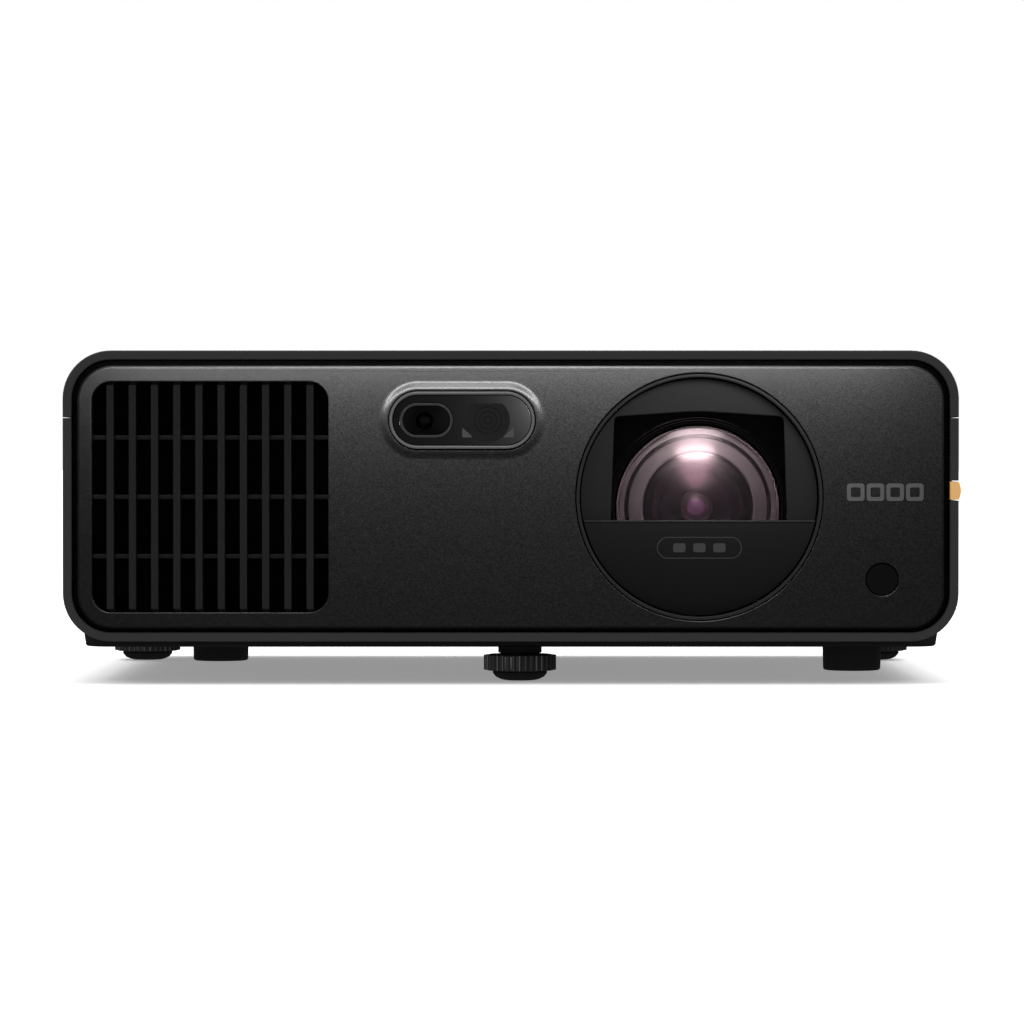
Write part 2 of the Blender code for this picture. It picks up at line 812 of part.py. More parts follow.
def make_light_engine():
    """Blue lasers light a phosphor wheel, and the engine's mirror chip sends the light to the lens."""
    front = GLASS_RIM_Y + 0.0666
    engine = box("optical_engine", (0.070, 0.070, 0.070), (LENS_X, front + 0.035, 0.0650), ALUMINIUM)
    pipe_at = (LENS_X - 0.045, front + 0.052, 0.062)
    join(engine, box("light_pipe", (0.024, 0.020, 0.024), pipe_at, ALUMINIUM))
    heat_sink("dmd_heatsink", 0.050, 0.016, 0.050, 0.003, (LENS_X, front + 0.0787, 0.065), 9)
    wheel_at = (-0.0145, front + 0.046, 0.062)
    turned(
        "phosphor_wheel",
        [
            (0, 0.004),
            (0.0095, 0.004),
            (0.0095, 0.0005),
            (0.0250, 0.0005),
            (0.0250, -0.0005),
            (0.0030, -0.0005),
            (0.0030, -0.010),
            (0, -0.010),
        ],
        wheel_at,
        "front",
        ALUMINIUM,
    )
    turned(
        "wheel_motor",
        [(0.0110, -0.001), (0.0110, -0.013), (0.0034, -0.013), (0.0034, -0.001)],
        wheel_at,
        "front",
        STEEL,
        24,
    )
    laser_at = (-0.0145, front + 0.071, 0.062)
    box("laser_bank", (0.056, 0.012, 0.044), laser_at, ALUMINIUM)
    sink_at = (laser_at[0], laser_at[1] + 0.0063 + 0.020, 0.060)
    heat_sink("laser_heatsink", 0.080, 0.040, 0.050, 0.004, sink_at, 12)


# ---- Electronics and cooling ----------------------------------------------------------------


def fan(name, size, depth, centre, facing):
    """A boxed axial fan: the frame with its spokes, and a rotor on the frame's axis."""
    bore = size / 2 - 0.002
    axis = Vector((0, 0, 1))
    turn = Matrix.Rotation(FACING[facing][2], 3, "Z") @ Matrix.Rotation(FACING[facing][0], 3, "X")
    outward = turn @ axis
    frame = plate(
        name + "_frame",
        [rounded_rectangle(size, size, 0.004, steps=2), circle(bore, steps=ROUND_STEPS)],
        depth,
        centre,
        facing,
        FAN_BLACK,
    )
    back = Vector(centre) - outward * (depth / 2 - 0.0015)
    hub_plate = plate(name + "_hub_plate", [circle(0.015, steps=16)], 0.003, back, facing, FAN_BLACK)
    join(frame, hub_plate)
    for n in range(4):
        spoke = plate(
            f"{name}_spoke_{n}",
            [rectangle(0.004, bore - 0.012, (0, (bore + 0.014) / 2))],
            0.0028,
            back,
            facing,
            FAN_BLACK,
        )
        spin = Matrix.Rotation(math.radians(45 + 90 * n), 3, "Z")
        spoke.rotation_euler = (turn @ spin).to_euler()
        join(frame, spoke)
    hub_radius, blade_tip = 0.0165, bore - 0.0015
    rotor = turned(
        name + "_rotor",
        [
            (0, depth / 2 - 0.001),
            (hub_radius - 0.001, depth / 2 - 0.001),
            (hub_radius, depth / 2 - 0.002),
            (hub_radius, -depth / 2 + 0.005),
            (0, -depth / 2 + 0.005),
        ],
        centre,
        facing,
        FAN_BLACK,
        24,
    )
    blade_middle = (hub_radius - 0.002 + blade_tip) / 2
    blade_length = blade_tip - hub_radius + 0.002
    for n in range(7):
        mesh = bpy.data.meshes.new(f"{name}_blade_{n}")
        blade = bmesh.new()
        bmesh.ops.create_cube(blade, size=1, matrix=Matrix.Diagonal((blade_length, 0.0190, 0.0014, 1)))
        pitch = Matrix.Rotation(math.radians(38), 4, "X")
        out = Matrix.Translation((blade_middle, 0, 0.001))
        spin = Matrix.Rotation(math.radians(360 * n / 7), 4, "Z")
        blade.transform(spin @ out @ pitch)
        blade.to_mesh(mesh)
        blade.free()
        join(rotor, add(f"{name}_blade_{n}", mesh, centre, facing, FAN_BLACK))


def make_cooling():
    fan("front_fan", 0.080, 0.025, (GRILLE_X, PANEL_FACE_Y + 0.0260, PANEL_Z - 0.002), "front")
    fan("side_fan", 0.070, 0.025, (HALF_WIDTH - WALL - 0.0165, *SIDE_FAN), "right")


def slatted(name, width, height, slats, centre, facing):
    """A vent insert: a rounded plate with a row of level slots, its bars as wide as its slots."""
    border = 0.003
    pitch = (height - 2 * border) / (slats + 0.5)
    slots = []
    for n in range(slats):
        z = (n - (slats - 1) / 2) * pitch
        slots.append(rectangle(width - 2 * border, pitch * 0.5, (0, z)))
    return plate(
        name, [rounded_rectangle(width, height, 0.0037, steps=3), *slots], 0.0026, centre, facing, CASE_BLACK
    )


def make_side_grilles():
    wall_middle = HALF_WIDTH - 0.0017
    slatted("right_grille", 0.078, 0.060, 10, (wall_middle, *SIDE_FAN), "right")
    slatted("left_grille", 0.090, 0.050, 8, (-wall_middle, *LEFT_VENT), "left")


def make_electronics():
    box("main_board", (0.138, 0.060, 0.0016), (0.061, 0.0870, 0.0872), BOARD_GREEN)
    supply = box("power_supply", (0.072, 0.150, 0.0016), (-0.092, 0.020, 0.0290), BOARD_GREEN)
    for number, (x, y, size) in enumerate(
        (
            (-0.105, -0.030, (0.034, 0.030, 0.028)),
            (-0.078, 0.020, (0.022, 0.026, 0.024)),
            (-0.106, 0.050, (0.030, 0.034, 0.022)),
        )
    ):
        lump = box(f"supply_lump_{number}", size, (x, y, 0.0290 + size[2] / 2), BOARD_GREEN)
        join(supply, lump)
    speaker = box("speaker", (0.026, 0.064, 0.044), (-HALF_WIDTH + WALL + 0.0150, *LEFT_VENT), FAN_BLACK)
    cone = turned(
        "speaker_cone",
        [(0, 0.010), (0.020, 0.010), (0.018, 0), (0.007, -0.007), (0, -0.007)],
        (-HALF_WIDTH + WALL + 0.0050, *LEFT_VENT),
        "left",
        FAN_BLACK,
        24,
    )
    cut(speaker, cone)


# ---- Rear panel and its sockets -------------------------------------------------------------

PORTS = {
    "hdmi_port_1": ((0.020, PORT_Z), 0.0150, 0.0058, 0.0006),
    "hdmi_port_2": ((0.044, PORT_Z), 0.0150, 0.0058, 0.0006),
    "usb_port": ((0.068, PORT_Z + 0.0006), 0.0140, 0.0068, 0.0006),
    "serial_port": ((0.098, PORT_Z + 0.002), 0.0172, 0.0096, 0.0030),
}
JACK_AT = (0.122, PORT_Z)
JACK_RADIUS = 0.0040
INLET_AT = (-0.110, 0.050)
INLET_SIZE = (0.0280, 0.0200)
SOCKET_FACE_Y = REAR_PANEL_Y + REAR_PANEL_THICK + 0.0006


def make_rear_panel():
    holes = [rectangle(width + 0.0008, height + 0.0008, at) for at, width, height, _ in PORTS.values()]
    holes.append(circle(JACK_RADIUS + 0.0004, JACK_AT, 16))
    holes.append(
        rounded_rectangle(INLET_SIZE[0] + 0.0008, INLET_SIZE[1] + 0.0008, 0.0008, INLET_AT, 2)
    )
    # Seen from behind, the outline's own X runs the other way.
    mirrored = [[(-x, z) for x, z in hole] for hole in holes]
    plate(
        "rear_panel",
        [
            rounded_rectangle(
                BODY_WIDTH - 2 * WALL - 0.0008,
                BODY_HEIGHT - 2 * WALL - 0.0008,
                CORNER_RADIUS - WALL - 0.0004,
                (0, UNDERSIDE_Z + BODY_HEIGHT / 2),
            ),
            *mirrored,
        ],
        REAR_PANEL_THICK,
        (0, REAR_PANEL_Y + REAR_PANEL_THICK / 2, 0),
        "back",
        CASE_BLACK,
    )


def make_sockets():
    """Each socket is a shell with a closed back and a tongue or insulator standing inside."""
    depth, back = 0.012, 0.0015
    for name, (at, width, height, tongue) in PORTS.items():
        shell = plate(
            name,
            [rectangle(width, height), rectangle(width - 0.0012, height - 0.0012)],
            depth,
            (at[0], SOCKET_FACE_Y - depth / 2, at[1]),
            "back",
            STEEL,
        )
        wall = box(
            name + "_back",
            (width - 0.0002, back, height - 0.0002),
            (at[0], SOCKET_FACE_Y - depth + back / 2 + 0.0001, at[1]),
            STEEL,
        )
        blade = box(
            name + "_tongue",
            (width * 0.72, depth - 0.003, 0.0008 + tongue),
            (at[0], SOCKET_FACE_Y - depth / 2 - 0.0010, at[1]),
            FAN_BLACK,
        )
        join(shell, wall, blade)
    turned(
        "audio_jack",
        [
            (0, -0.010),
            (0.0018, -0.010),
            (0.0018, 0),
            (JACK_RADIUS, 0),
            (JACK_RADIUS, -0.012),
            (0, -0.012),
        ],
        (JACK_AT[0], SOCKET_FACE_Y, JACK_AT[1]),
        "back",
        FAN_BLACK,
        20,
    )
    inlet_depth, recess_depth = 0.022, 0.0165
    inlet = box(
        "power_inlet",
        (INLET_SIZE[0], inlet_depth, INLET_SIZE[1]),
        (INLET_AT[0], SOCKET_FACE_Y - inlet_depth / 2, INLET_AT[1]),
        FAN_BLACK,
    )
    recess = box(
        "inlet_recess",
        (0.0240, recess_depth * 2, 0.0160),
        (INLET_AT[0], SOCKET_FACE_Y, INLET_AT[1]),
        FAN_BLACK,
    )
    cut(inlet, recess)
    pin_length = 0.011
    for number, (x, z) in enumerate(((-0.007, -0.002), (0, 0.002), (0.007, -0.002))):
        pin = box(
            f"inlet_pin_{number}",
            (0.0020, pin_length + 0.002, 0.0040),
            (INLET_AT[0] + x, SOCKET_FACE_Y - recess_depth + pin_length / 2 - 0.001, INLET_AT[1] + z),
            STEEL,
        )
        join(inlet, pin)


# ---- Feet -----------------------------------------------------------------------------------

KNOB_LOBES = 20


def knurled_outline(radius, lobes, depth):
    """A grip with square-shouldered ridges."""
    points = []
    for n in range(lobes):
        middle = 2 * math.pi * n / lobes
        for angle, r in (
            (-0.34, radius - depth),
            (-0.24, radius),
            (0.24, radius),
            (0.34, radius - depth),
        ):
            turn = middle + angle * 2 * math.pi / lobes
            points.append((r * math.cos(turn), r * math.sin(turn)))
    return points


def make_foot(name, at):
    """A hand screw: the knob and its screw turn, and the sole under them only rises and falls."""
    height = KNOB_TOP_Z - KNOB_BOTTOM_Z
    knob = plate(
        name + "_knob",
        [knurled_outline(KNOB_RADIUS, KNOB_LOBES, 0.0009)],
        height,
        (*at, KNOB_BOTTOM_Z + height / 2),
        "up",
        CASE_BLACK,
    )
    screw = turned(
        name + "_screw",
        [(0, 0.031), (SCREW_RADIUS - 0.0006, 0.031), (SCREW_RADIUS, 0.030), (SCREW_RADIUS, 0.008), (0, 0.008)],
        (*at, 0),
        "up",
        CASE_BLACK,
        16,
    )
    join(knob, screw)
    turned(
        name + "_sole",
        [(0, KNOB_BOTTOM_Z - GAP), (0.0104, KNOB_BOTTOM_Z - GAP), (0.0102, 0.0026), (0.0058, 0), (0, 0)],
        (*at, 0),
        "up",
        RUBBER,
        24,
    )


# ---- The object -----------------------------------------------------------------------------


def weld_seams():
    """Closes the hairline seams a cut can leave where its edges pass through a corner."""
    for piece in PROJECTOR.objects:
        if any(modifier.type == "BOOLEAN" for modifier in piece.modifiers):
            weld = piece.modifiers.new("weld", "WELD")
            weld.merge_threshold = 5e-6


make_bottom_case()
make_top_cover()
make_keypad()
make_front_panel()
make_front_grille()
make_sensor()
make_panel_fittings()
make_lens_surround()
make_lens()
make_focus_drive()
make_light_engine()
make_cooling()
make_side_grilles()
make_electronics()
make_rear_panel()
make_sockets()
make_foot("front_foot", FRONT_FOOT)
make_foot("rear_left_foot", REAR_FEET[0])
make_foot("rear_right_foot", REAR_FEET[1])
weld_seams()
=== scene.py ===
"""A short-throw home projector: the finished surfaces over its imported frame, in metres, +Z up."""
import json
import math

import bmesh
import bpy
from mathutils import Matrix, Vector
from mathutils.geometry import tessellate_polygon

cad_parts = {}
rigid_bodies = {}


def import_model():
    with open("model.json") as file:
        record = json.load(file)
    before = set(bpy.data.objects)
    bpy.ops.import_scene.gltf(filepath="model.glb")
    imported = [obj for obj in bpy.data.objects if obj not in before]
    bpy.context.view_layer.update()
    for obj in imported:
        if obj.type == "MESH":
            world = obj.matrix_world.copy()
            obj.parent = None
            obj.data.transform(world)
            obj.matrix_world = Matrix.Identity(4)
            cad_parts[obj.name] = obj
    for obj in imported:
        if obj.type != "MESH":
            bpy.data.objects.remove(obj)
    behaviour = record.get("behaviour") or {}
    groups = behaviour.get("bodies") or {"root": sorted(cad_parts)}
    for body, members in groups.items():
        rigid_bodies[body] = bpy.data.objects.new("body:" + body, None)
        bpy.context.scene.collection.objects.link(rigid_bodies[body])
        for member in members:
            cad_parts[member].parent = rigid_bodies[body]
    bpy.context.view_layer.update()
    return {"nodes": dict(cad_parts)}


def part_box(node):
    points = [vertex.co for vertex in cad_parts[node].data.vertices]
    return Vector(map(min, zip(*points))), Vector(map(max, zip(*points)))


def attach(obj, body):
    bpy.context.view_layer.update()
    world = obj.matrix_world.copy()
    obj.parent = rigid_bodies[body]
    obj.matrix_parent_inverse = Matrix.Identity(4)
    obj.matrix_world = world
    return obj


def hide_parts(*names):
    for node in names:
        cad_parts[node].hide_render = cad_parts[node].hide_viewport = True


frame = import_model()

# ---- Bottom case ----------------------------------------------------------------------------
# The lower half of the casing is one thick ABS moulding: a U-shaped trough with a plinth below
# it, round bosses for the feet and for a ceiling bracket, and an opening in each side for a vent.


def linear(code):
    """A linear colour from an sRGB hex code."""
    parts = [int(code[i : i + 2], 16) / 255 for i in (1, 3, 5)]
    return (*(c / 12.92 if c <= 0.04045 else ((c + 0.055) / 1.055) ** 2.4 for c in parts), 1)


def add_node(tree, kind, inputs=None, stops=(), **settings):
    """Adds a node with its settings, and gives each named input a value or a link. stops are the
    (position, sRGB code) pairs of a colour ramp's two ends."""
    made = tree.nodes.new(kind)
    for name, value in settings.items():
        setattr(made, name, value)
    for name, value in (inputs or {}).items():
        if isinstance(value, bpy.types.NodeSocket):
            tree.links.new(value, made.inputs[name])
        else:
            made.inputs[name].default_value = value
    for number, (position, code) in enumerate(stops):
        made.color_ramp.elements[number].position = position
        made.color_ramp.elements[number].color = linear(code)
    return made


def new_finish(name, **sockets):
    """A material with these values on its shader's own sockets, and its object coordinates."""
    material = bpy.data.materials.new(name)
    material.use_nodes = True
    tree = material.node_tree
    shader = tree.nodes["Principled BSDF"]
    for socket, value in sockets.items():
        shader.inputs[socket.replace("_", " ")].default_value = value
    return material, tree, shader, add_node(tree, "ShaderNodeTexCoord").outputs["Object"]


def moulded_plastic(name, dark, light, roughness, grain, depth):
    """Moulded plastic with a spark-eroded grain: its size and depth are in millimetres. The
    grain breaks up highlights, and a faint cloud, 40 mm wide, gives large faces some life."""
    material, tree, shader, place = new_finish(name, IOR=1.53)
    fine = add_node(
        tree, "ShaderNodeTexNoise", {"Vector": place, "Scale": 1000 / grain, "Detail": 2.0}
    )
    soft = add_node(
        tree, "ShaderNodeTexNoise", {"Vector": place, "Scale": 1000 / 40, "Detail": 2.0}
    )
    faint = add_node(
        tree, "ShaderNodeMapRange", {"Value": soft.outputs["Fac"], "To Min": 0.46, "To Max": 0.54}
    )
    blend = add_node(
        tree,
        "ShaderNodeMath",
        {0: fine.outputs["Fac"], 1: faint.outputs["Result"]},
        operation="MULTIPLY",
    )
    stops = [(0.12, dark), (0.42, light)]
    colour = add_node(tree, "ShaderNodeValToRGB", {"Fac": blend.outputs[0]}, stops)
    tree.links.new(colour.outputs["Color"], shader.inputs["Base Color"])
    rough = add_node(
        tree,
        "ShaderNodeMapRange",
        {"Value": fine.outputs["Fac"], "To Min": roughness - 0.06, "To Max": roughness + 0.06},
    )
    tree.links.new(rough.outputs["Result"], shader.inputs["Roughness"])
    bump = add_node(
        tree,
        "ShaderNodeBump",
        {"Height": fine.outputs["Fac"], "Distance": depth / 1000, "Strength": 1.0},
    )
    tree.links.new(bump.outputs["Normal"], shader.inputs["Normal"])
    return material


def rounded(width, height, radius, u=0.0, v=0.0, steps=8):
    """A rectangle with round corners, anticlockwise from its right side's upper end."""
    radius = min(radius, width / 2 - 1e-5, height / 2 - 1e-5)
    points = []
    for turn, (side_u, side_v) in enumerate(((1, 1), (-1, 1), (-1, -1), (1, -1))):
        for step in range(steps + 1):
            angle = math.radians(90 * (turn + step / steps))
            points.append(
                (
                    u + side_u * (width / 2 - radius) + radius * math.cos(angle),
                    v + side_v * (height / 2 - radius) + radius * math.sin(angle),
                )
            )
    return points


def filleted(corners, steps=6):
    """A closed outline from (u, v, radius) corners."""
    outline = []
    for number, (u, v, radius) in enumerate(corners):
        at = Vector((u, v))
        if radius == 0:
            outline.append((u, v))
            continue
        back = (Vector(corners[number - 1][:2]) - at).normalized()
        on = (Vector(corners[(number + 1) % len(corners)][:2]) - at).normalized()
        half = back.angle(on) / 2
        centre = at + (back + on).normalized() * (radius / math.sin(half))
        start = at + back * (radius / math.tan(half)) - centre
        end = at + on * (radius / math.tan(half)) - centre
        sweep = math.atan2(start.x * end.y - start.y * end.x, start.dot(end))
        for step in range(steps + 1):
            turn = sweep * step / steps
            outline.append(
                (
                    centre.x + start.x * math.cos(turn) - start.y * math.sin(turn),
                    centre.y + start.x * math.sin(turn) + start.y * math.cos(turn),
                )
            )
    return outline


def inset(outline, by):
    """The outline moved inward by this much, or outward where it is negative."""
    count = len(outline)
    area = sum(
        outline[i - 1][0] * outline[i][1] - outline[i][0] * outline[i - 1][1] for i in range(count)
    )
    side = by if area > 0 else -by
    moved = []
    for i, (u, v) in enumerate(outline):
        before, after = outline[i - 1], outline[(i + 1) % count]
        first = Vector((u - before[0], v - before[1])).normalized()
        second = Vector((after[0] - u, after[1] - v)).normalized()
        normal = Vector((-first.y - second.y, first.x + second.x)) / (1 + first.dot(second))
        moved.append((u + normal.x * side, v + normal.y * side))
    return moved


def edge(face, inward, radius, steps=4):
    """Stations (depth, inset) round an edge, from face to wall, with a flat strip on each side."""
    stations = [(face, radius + 0.0002)]
    for step in range(steps + 1):
        angle = math.pi / 2 * step / steps
        depth = face + inward * radius * (1 - math.cos(angle))
        stations.append((depth, radius * (1 - math.sin(angle))))
    stations.append((face + inward * (radius + 0.0002), 0))
    return stations


def seen_front(u, v, depth):
    """A point of an outline drawn from the front, with its depth along Y."""
    return u, depth, v


def seen_above(u, v, depth):
    """A point of an outline drawn from above, with its depth along Z."""
    return u, v, depth


def seen_right(u, v, depth):
    """A point of an outline drawn from the right, with its depth along X."""
    return depth, u, v


def moulding(walls, place):
    """A closed shell. walls is a list of (outline, stations): the edge first, and then the holes.
    Every wall runs from the front face's depth to the back face's."""
    shell = bmesh.new()
    loops = []
    for number, (outline, stations) in enumerate(walls):
        side = 1 if number == 0 else -1
        rings = []
        for depth, by in stations:
            ring = inset(outline, side * by)
            rings.append(([shell.verts.new(place(u, v, depth)) for u, v in ring], ring))
        loops.append(rings)
        for (first, _), (second, _) in zip(rings, rings[1:]):
            for i in range(len(first)):
                j = (i + 1) % len(first)
                shell.faces.new((first[i], first[j], second[j], second[i]))
    for end in (0, -1):
        corners = [vert for rings in loops for vert in rings[end][0]]
        flat = [[Vector((u, v, 0)) for u, v in rings[end][1]] for rings in loops]
        for triangle in tessellate_polygon(flat):
            shell.faces.new([corners[i] for i in triangle])
    bmesh.ops.recalc_face_normals(shell, faces=shell.faces)
    return shell


def lathed(profile, centre, toward, steps=64):
    """A turned shell through (radius, distance) points; distance runs the way toward points."""
    axis = Vector(toward).normalized()
    across = axis.orthogonal().normalized()
    up = axis.cross(across)
    shell = bmesh.new()
    rings = []
    for radius, distance in profile:
        middle = Vector(centre) + axis * distance
        if radius < 1e-7:
            rings.append([shell.verts.new(middle)])
            continue
        ring = []
        for step in range(steps):
            turn = 2 * math.pi * step / steps
            ring.append(
                shell.verts.new(middle + (across * math.cos(turn) + up * math.sin(turn)) * radius)
            )
        rings.append(ring)
    pairs = list(zip(rings, rings[1:]))
    if len(rings[0]) > 1 and len(rings[-1]) > 1:
        pairs.append((rings[-1], rings[0]))
    for first, second in pairs:
        for i in range(steps):
            j = (i + 1) % steps
            corners = [first[i % len(first)], first[j % len(first)]]
            corners += [second[j % len(second)], second[i % len(second)]]
            shell.faces.new(list(dict.fromkeys(corners)))
    bmesh.ops.recalc_face_normals(shell, faces=shell.faces)
    return shell


def soften(profile, radius, steps=3):
    """An open profile with each of its inner corners rounded."""
    points = [profile[0]]
    for before, at, after in zip(profile, profile[1:], profile[2:]):
        back = Vector(before) - Vector(at)
        on = Vector(after) - Vector(at)
        reach = min(radius, back.length * 0.45, on.length * 0.45)
        start, end = Vector(at) + back.normalized() * reach, Vector(at) + on.normalized() * reach
        for step in range(steps + 1):
            t = step / steps
            spot = start * (1 - t) ** 2 + Vector(at) * 2 * t * (1 - t) + end * t**2
            points.append((spot.x, spot.y))
    return points + [profile[-1]]


def smooth(mesh):
    """Smooth shading, except where faces meet at more than 35 degrees."""
    mesh.shade_smooth()
    mesh.set_sharp_from_angle(angle=math.radians(35))


def as_object(name, shells, material):
    """One smoothed object from its shells."""
    joined = bmesh.new()
    for shell in shells:
        passing = bpy.data.meshes.new("passing")
        shell.to_mesh(passing)
        shell.free()
        joined.from_mesh(passing)
        bpy.data.meshes.remove(passing)
    mesh = bpy.data.meshes.new(name)
    joined.to_mesh(mesh)
    joined.free()
    mesh.materials.append(material)
    smooth(mesh)
    made = bpy.data.objects.new(name, mesh)
    bpy.context.scene.collection.objects.link(made)
    return made


def settle(made, body, slot, *nodes):
    """The finished piece rides on its body and stands for these nodes."""
    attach(made, body)
    if nodes:
        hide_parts(*nodes)
    return made


def carve(made, *cutters):
    """Cuts shells out of a piece and leaves it a plain mesh."""
    for number, cutter in enumerate(cutters):
        tool = as_object(f"{made.name}_cutter_{number}", [cutter], made.data.materials[0])
        boolean = made.modifiers.new("cut", "BOOLEAN")
        boolean.operation = "DIFFERENCE"
        boolean.solver = "EXACT"
        boolean.object = tool
        graph = bpy.context.evaluated_depsgraph_get()
        result = bpy.data.meshes.new_from_object(made.evaluated_get(graph))
        made.modifiers.clear()
        old, made.data = made.data, result
        bpy.data.meshes.remove(old)
        bpy.data.objects.remove(tool)
    smooth(made.data)
    return made


case_low, case_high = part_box("bottom_case")
cover_low, cover_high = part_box("top_cover")
MIDDLE = (case_low.x + case_high.x) / 2
FRONT_Y, REAR_Y = case_low.y, case_high.y
HALF = (case_high.x - case_low.x) / 2
BASE_Z, TOP_Z = 0.016, cover_high.z
CORNER, WALL = 0.018, 0.0034

# Fine grain on dark grey: light spreads softly and nothing is mirrored.
CASE_ABS = moulded_plastic("moulded_dark_grey_abs", "#3e3e3f", "#4a4a4b", 0.52, 0.35, 0.012)
# The same case plastic, painted much darker below the casing: painted shade on the plinth and
# bosses.
UNDERSIDE_SHADE_ABS = moulded_plastic("moulded_black_base_abs", "#141415", "#1c1c1d", 0.5, 0.35, 0.012)


def trough(open_z, closed_z, lip):
    """The casing's U section: closed at closed_z, with its two edges at open_z."""
    up = math.copysign(1, open_z - closed_z)
    left, right = MIDDLE - HALF, MIDDLE + HALF
    corners = [
        (left, open_z, lip),
        (left, closed_z, CORNER),
        (right, closed_z, CORNER),
        (right, open_z, lip),
        (right - WALL, open_z, 0),
        (right - WALL, closed_z + up * WALL, CORNER - WALL),
        (left + WALL, closed_z + up * WALL, CORNER - WALL),
        (left + WALL, open_z, 0),
    ]
    return filleted(corners, 14)


def both_ends(front, rear, radius):
    """Stations from a rounded front edge to a rounded rear one."""
    return edge(front, 1, radius) + edge(rear, -1, radius)[::-1]


def boss_profile(points, bore, bore_top, radius=0.0005):
    """Down a boss's side, across its face and up its bore."""
    return soften([*points, (bore, points[-1][1]), (bore, bore_top), (0, bore_top)], radius)


trough_shell = moulding(
    [(trough(case_high.z, BASE_Z, 0), both_ends(FRONT_Y, REAR_Y, 0.0007))], seen_front
)
bottom_case = as_object("bottom_case_moulding", [trough_shell], CASE_ABS)
right_low, right_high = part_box("right_grille")
left_low, left_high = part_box("left_grille")
tab_low, tab_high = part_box("accent_tab")
cutters = []
for low, high in ((right_low, right_high), (left_low, left_high)):
    opening = rounded(
        high.y - low.y + 0.0006,
        high.z - low.z + 0.0006,
        0.004,
        (low.y + high.y) / 2,
        (low.z + high.z) / 2,
    )
    middle = (low.x + high.x) / 2
    cutters.append(moulding([(opening, [(middle - 0.006, 0), (middle + 0.006, 0)])], seen_right))
notch = rounded(
    0.056, tab_high.z - tab_low.z + 0.0006, 0.0002, FRONT_Y, (tab_low.z + tab_high.z) / 2, 1
)
cutters.append(moulding([(notch, [(HALF - 0.006, 0), (HALF + 0.006, 0)])], seen_right))
carve(bottom_case, *cutters)

PLINTH_Z, COLLAR_Z, BOSS_Z = 0.0129, 0.0104, 0.0037
COLLAR_RADIUS, COLLAR_TOP_Z = 0.0083, 0.0338
plinth_outline = rounded(
    0.3264, REAR_Y - FRONT_Y - 0.036, 0.012, MIDDLE, (REAR_Y + FRONT_Y) / 2 + 0.006
)
plinth_walls = [(depth, by + 0.0009) for depth, by in edge(PLINTH_Z, 1, 0.0012)]
plinth_walls += [(0.0200, 0.0), (0.0203, 0.0004)]
underside = [moulding([(plinth_outline, plinth_walls)], seen_above)]
FEET = {
    name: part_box(name + "_knob") for name in ("front_foot", "rear_left_foot", "rear_right_foot")
}
foot_axis = {
    name: Vector(((low.x + high.x) / 2, (low.y + high.y) / 2, 0))
    for name, (low, high) in FEET.items()
}
for name, at in foot_axis.items():
    # Only the rear collars stand on wide bosses, whose faces lie just above the plinth's.
    points = [(COLLAR_RADIUS, COLLAR_TOP_Z)]
    if name != "front_foot":
        points = [(0.0144, COLLAR_TOP_Z), (0.0146, PLINTH_Z + 0.0002)]
        points.append((COLLAR_RADIUS, PLINTH_Z + 0.0002))
    points = [(0, COLLAR_TOP_Z), *points, (COLLAR_RADIUS, COLLAR_Z)]
    underside.append(lathed(boss_profile(points, 0.0044, 0.0325), at, (0, 0, 1), 56))
# Each ceiling boss stands at this x and y, with this radius.
CEILING_BOSSES = ((0.1302, -0.0883, 0.0113), (-0.1160, -0.0053, 0.0113), (0.0039, 0.0850, 0.0090))
for x, y, radius in CEILING_BOSSES:
    points = [(0, 0.0182), (radius, 0.0182), (radius - 0.0004, BOSS_Z)]
    at = (x + MIDDLE, y, 0)
    underside.append(lathed(boss_profile(points, 0.0033, 0.0134, 0.0011), at, (0, 0, 1), 56))
# The plinth and bosses take the darker copy of the case plastic: painted shade.
lower = as_object("underside_moulding", underside, UNDERSIDE_SHADE_ABS)
settle(bottom_case, "chassis", "case_black_abs", "bottom_case")
settle(lower, "chassis", "case_black_abs")

# ---- Threaded inserts and casing screws -----------------------------------------------------
# A knurled brass insert is pressed into each ceiling-mount boss. Black steel screws with a
# crossed recess hold the casing together from below and from behind.


def bare_metal(name, colour, roughness, brushed=0.0, line=0.15):
    """Metal, turned or rolled: brushed is how much its fine lines show, each about line mm wide."""
    material, tree, shader, place = new_finish(name, Metallic=1.0, Base_Color=linear(colour))
    stretch = add_node(tree, "ShaderNodeMapping", {"Vector": place, "Scale": (1.0, 0.06, 1.0)})
    lines = add_node(
        tree,
        "ShaderNodeTexNoise",
        {"Vector": stretch.outputs["Vector"], "Scale": 1000 / line, "Detail": 2.0},
    )
    rough = add_node(
        tree,
        "ShaderNodeMapRange",
        {"Value": lines.outputs["Fac"], "To Min": roughness - 0.08, "To Max": roughness + 0.08},
    )
    tree.links.new(rough.outputs["Result"], shader.inputs["Roughness"])
    bump = add_node(
        tree,
        "ShaderNodeBump",
        {"Height": lines.outputs["Fac"], "Distance": 0.00001 * brushed, "Strength": 0.6},
    )
    tree.links.new(bump.outputs["Normal"], shader.inputs["Normal"])
    return material


# Warm, with fine turning lines that catch the light.
BRASS = bare_metal("turned_brass", "#b9975a", 0.30, 0.4)
BLACK_STEEL = bare_metal("black_oxide_steel", "#3b3b3d", 0.38, 0.3)


def geometry_tree(name, sizes):
    """An empty node group whose inputs are these sizes, each (name, socket type)."""
    tree = bpy.data.node_groups.new(name, "GeometryNodeTree")
    for label, kind in sizes:
        tree.interface.new_socket(name=label, in_out="INPUT", socket_type=kind)
    tree.interface.new_socket(name="Geometry", in_out="OUTPUT", socket_type="NodeSocketGeometry")
    return tree, tree.nodes.new("NodeGroupInput").outputs


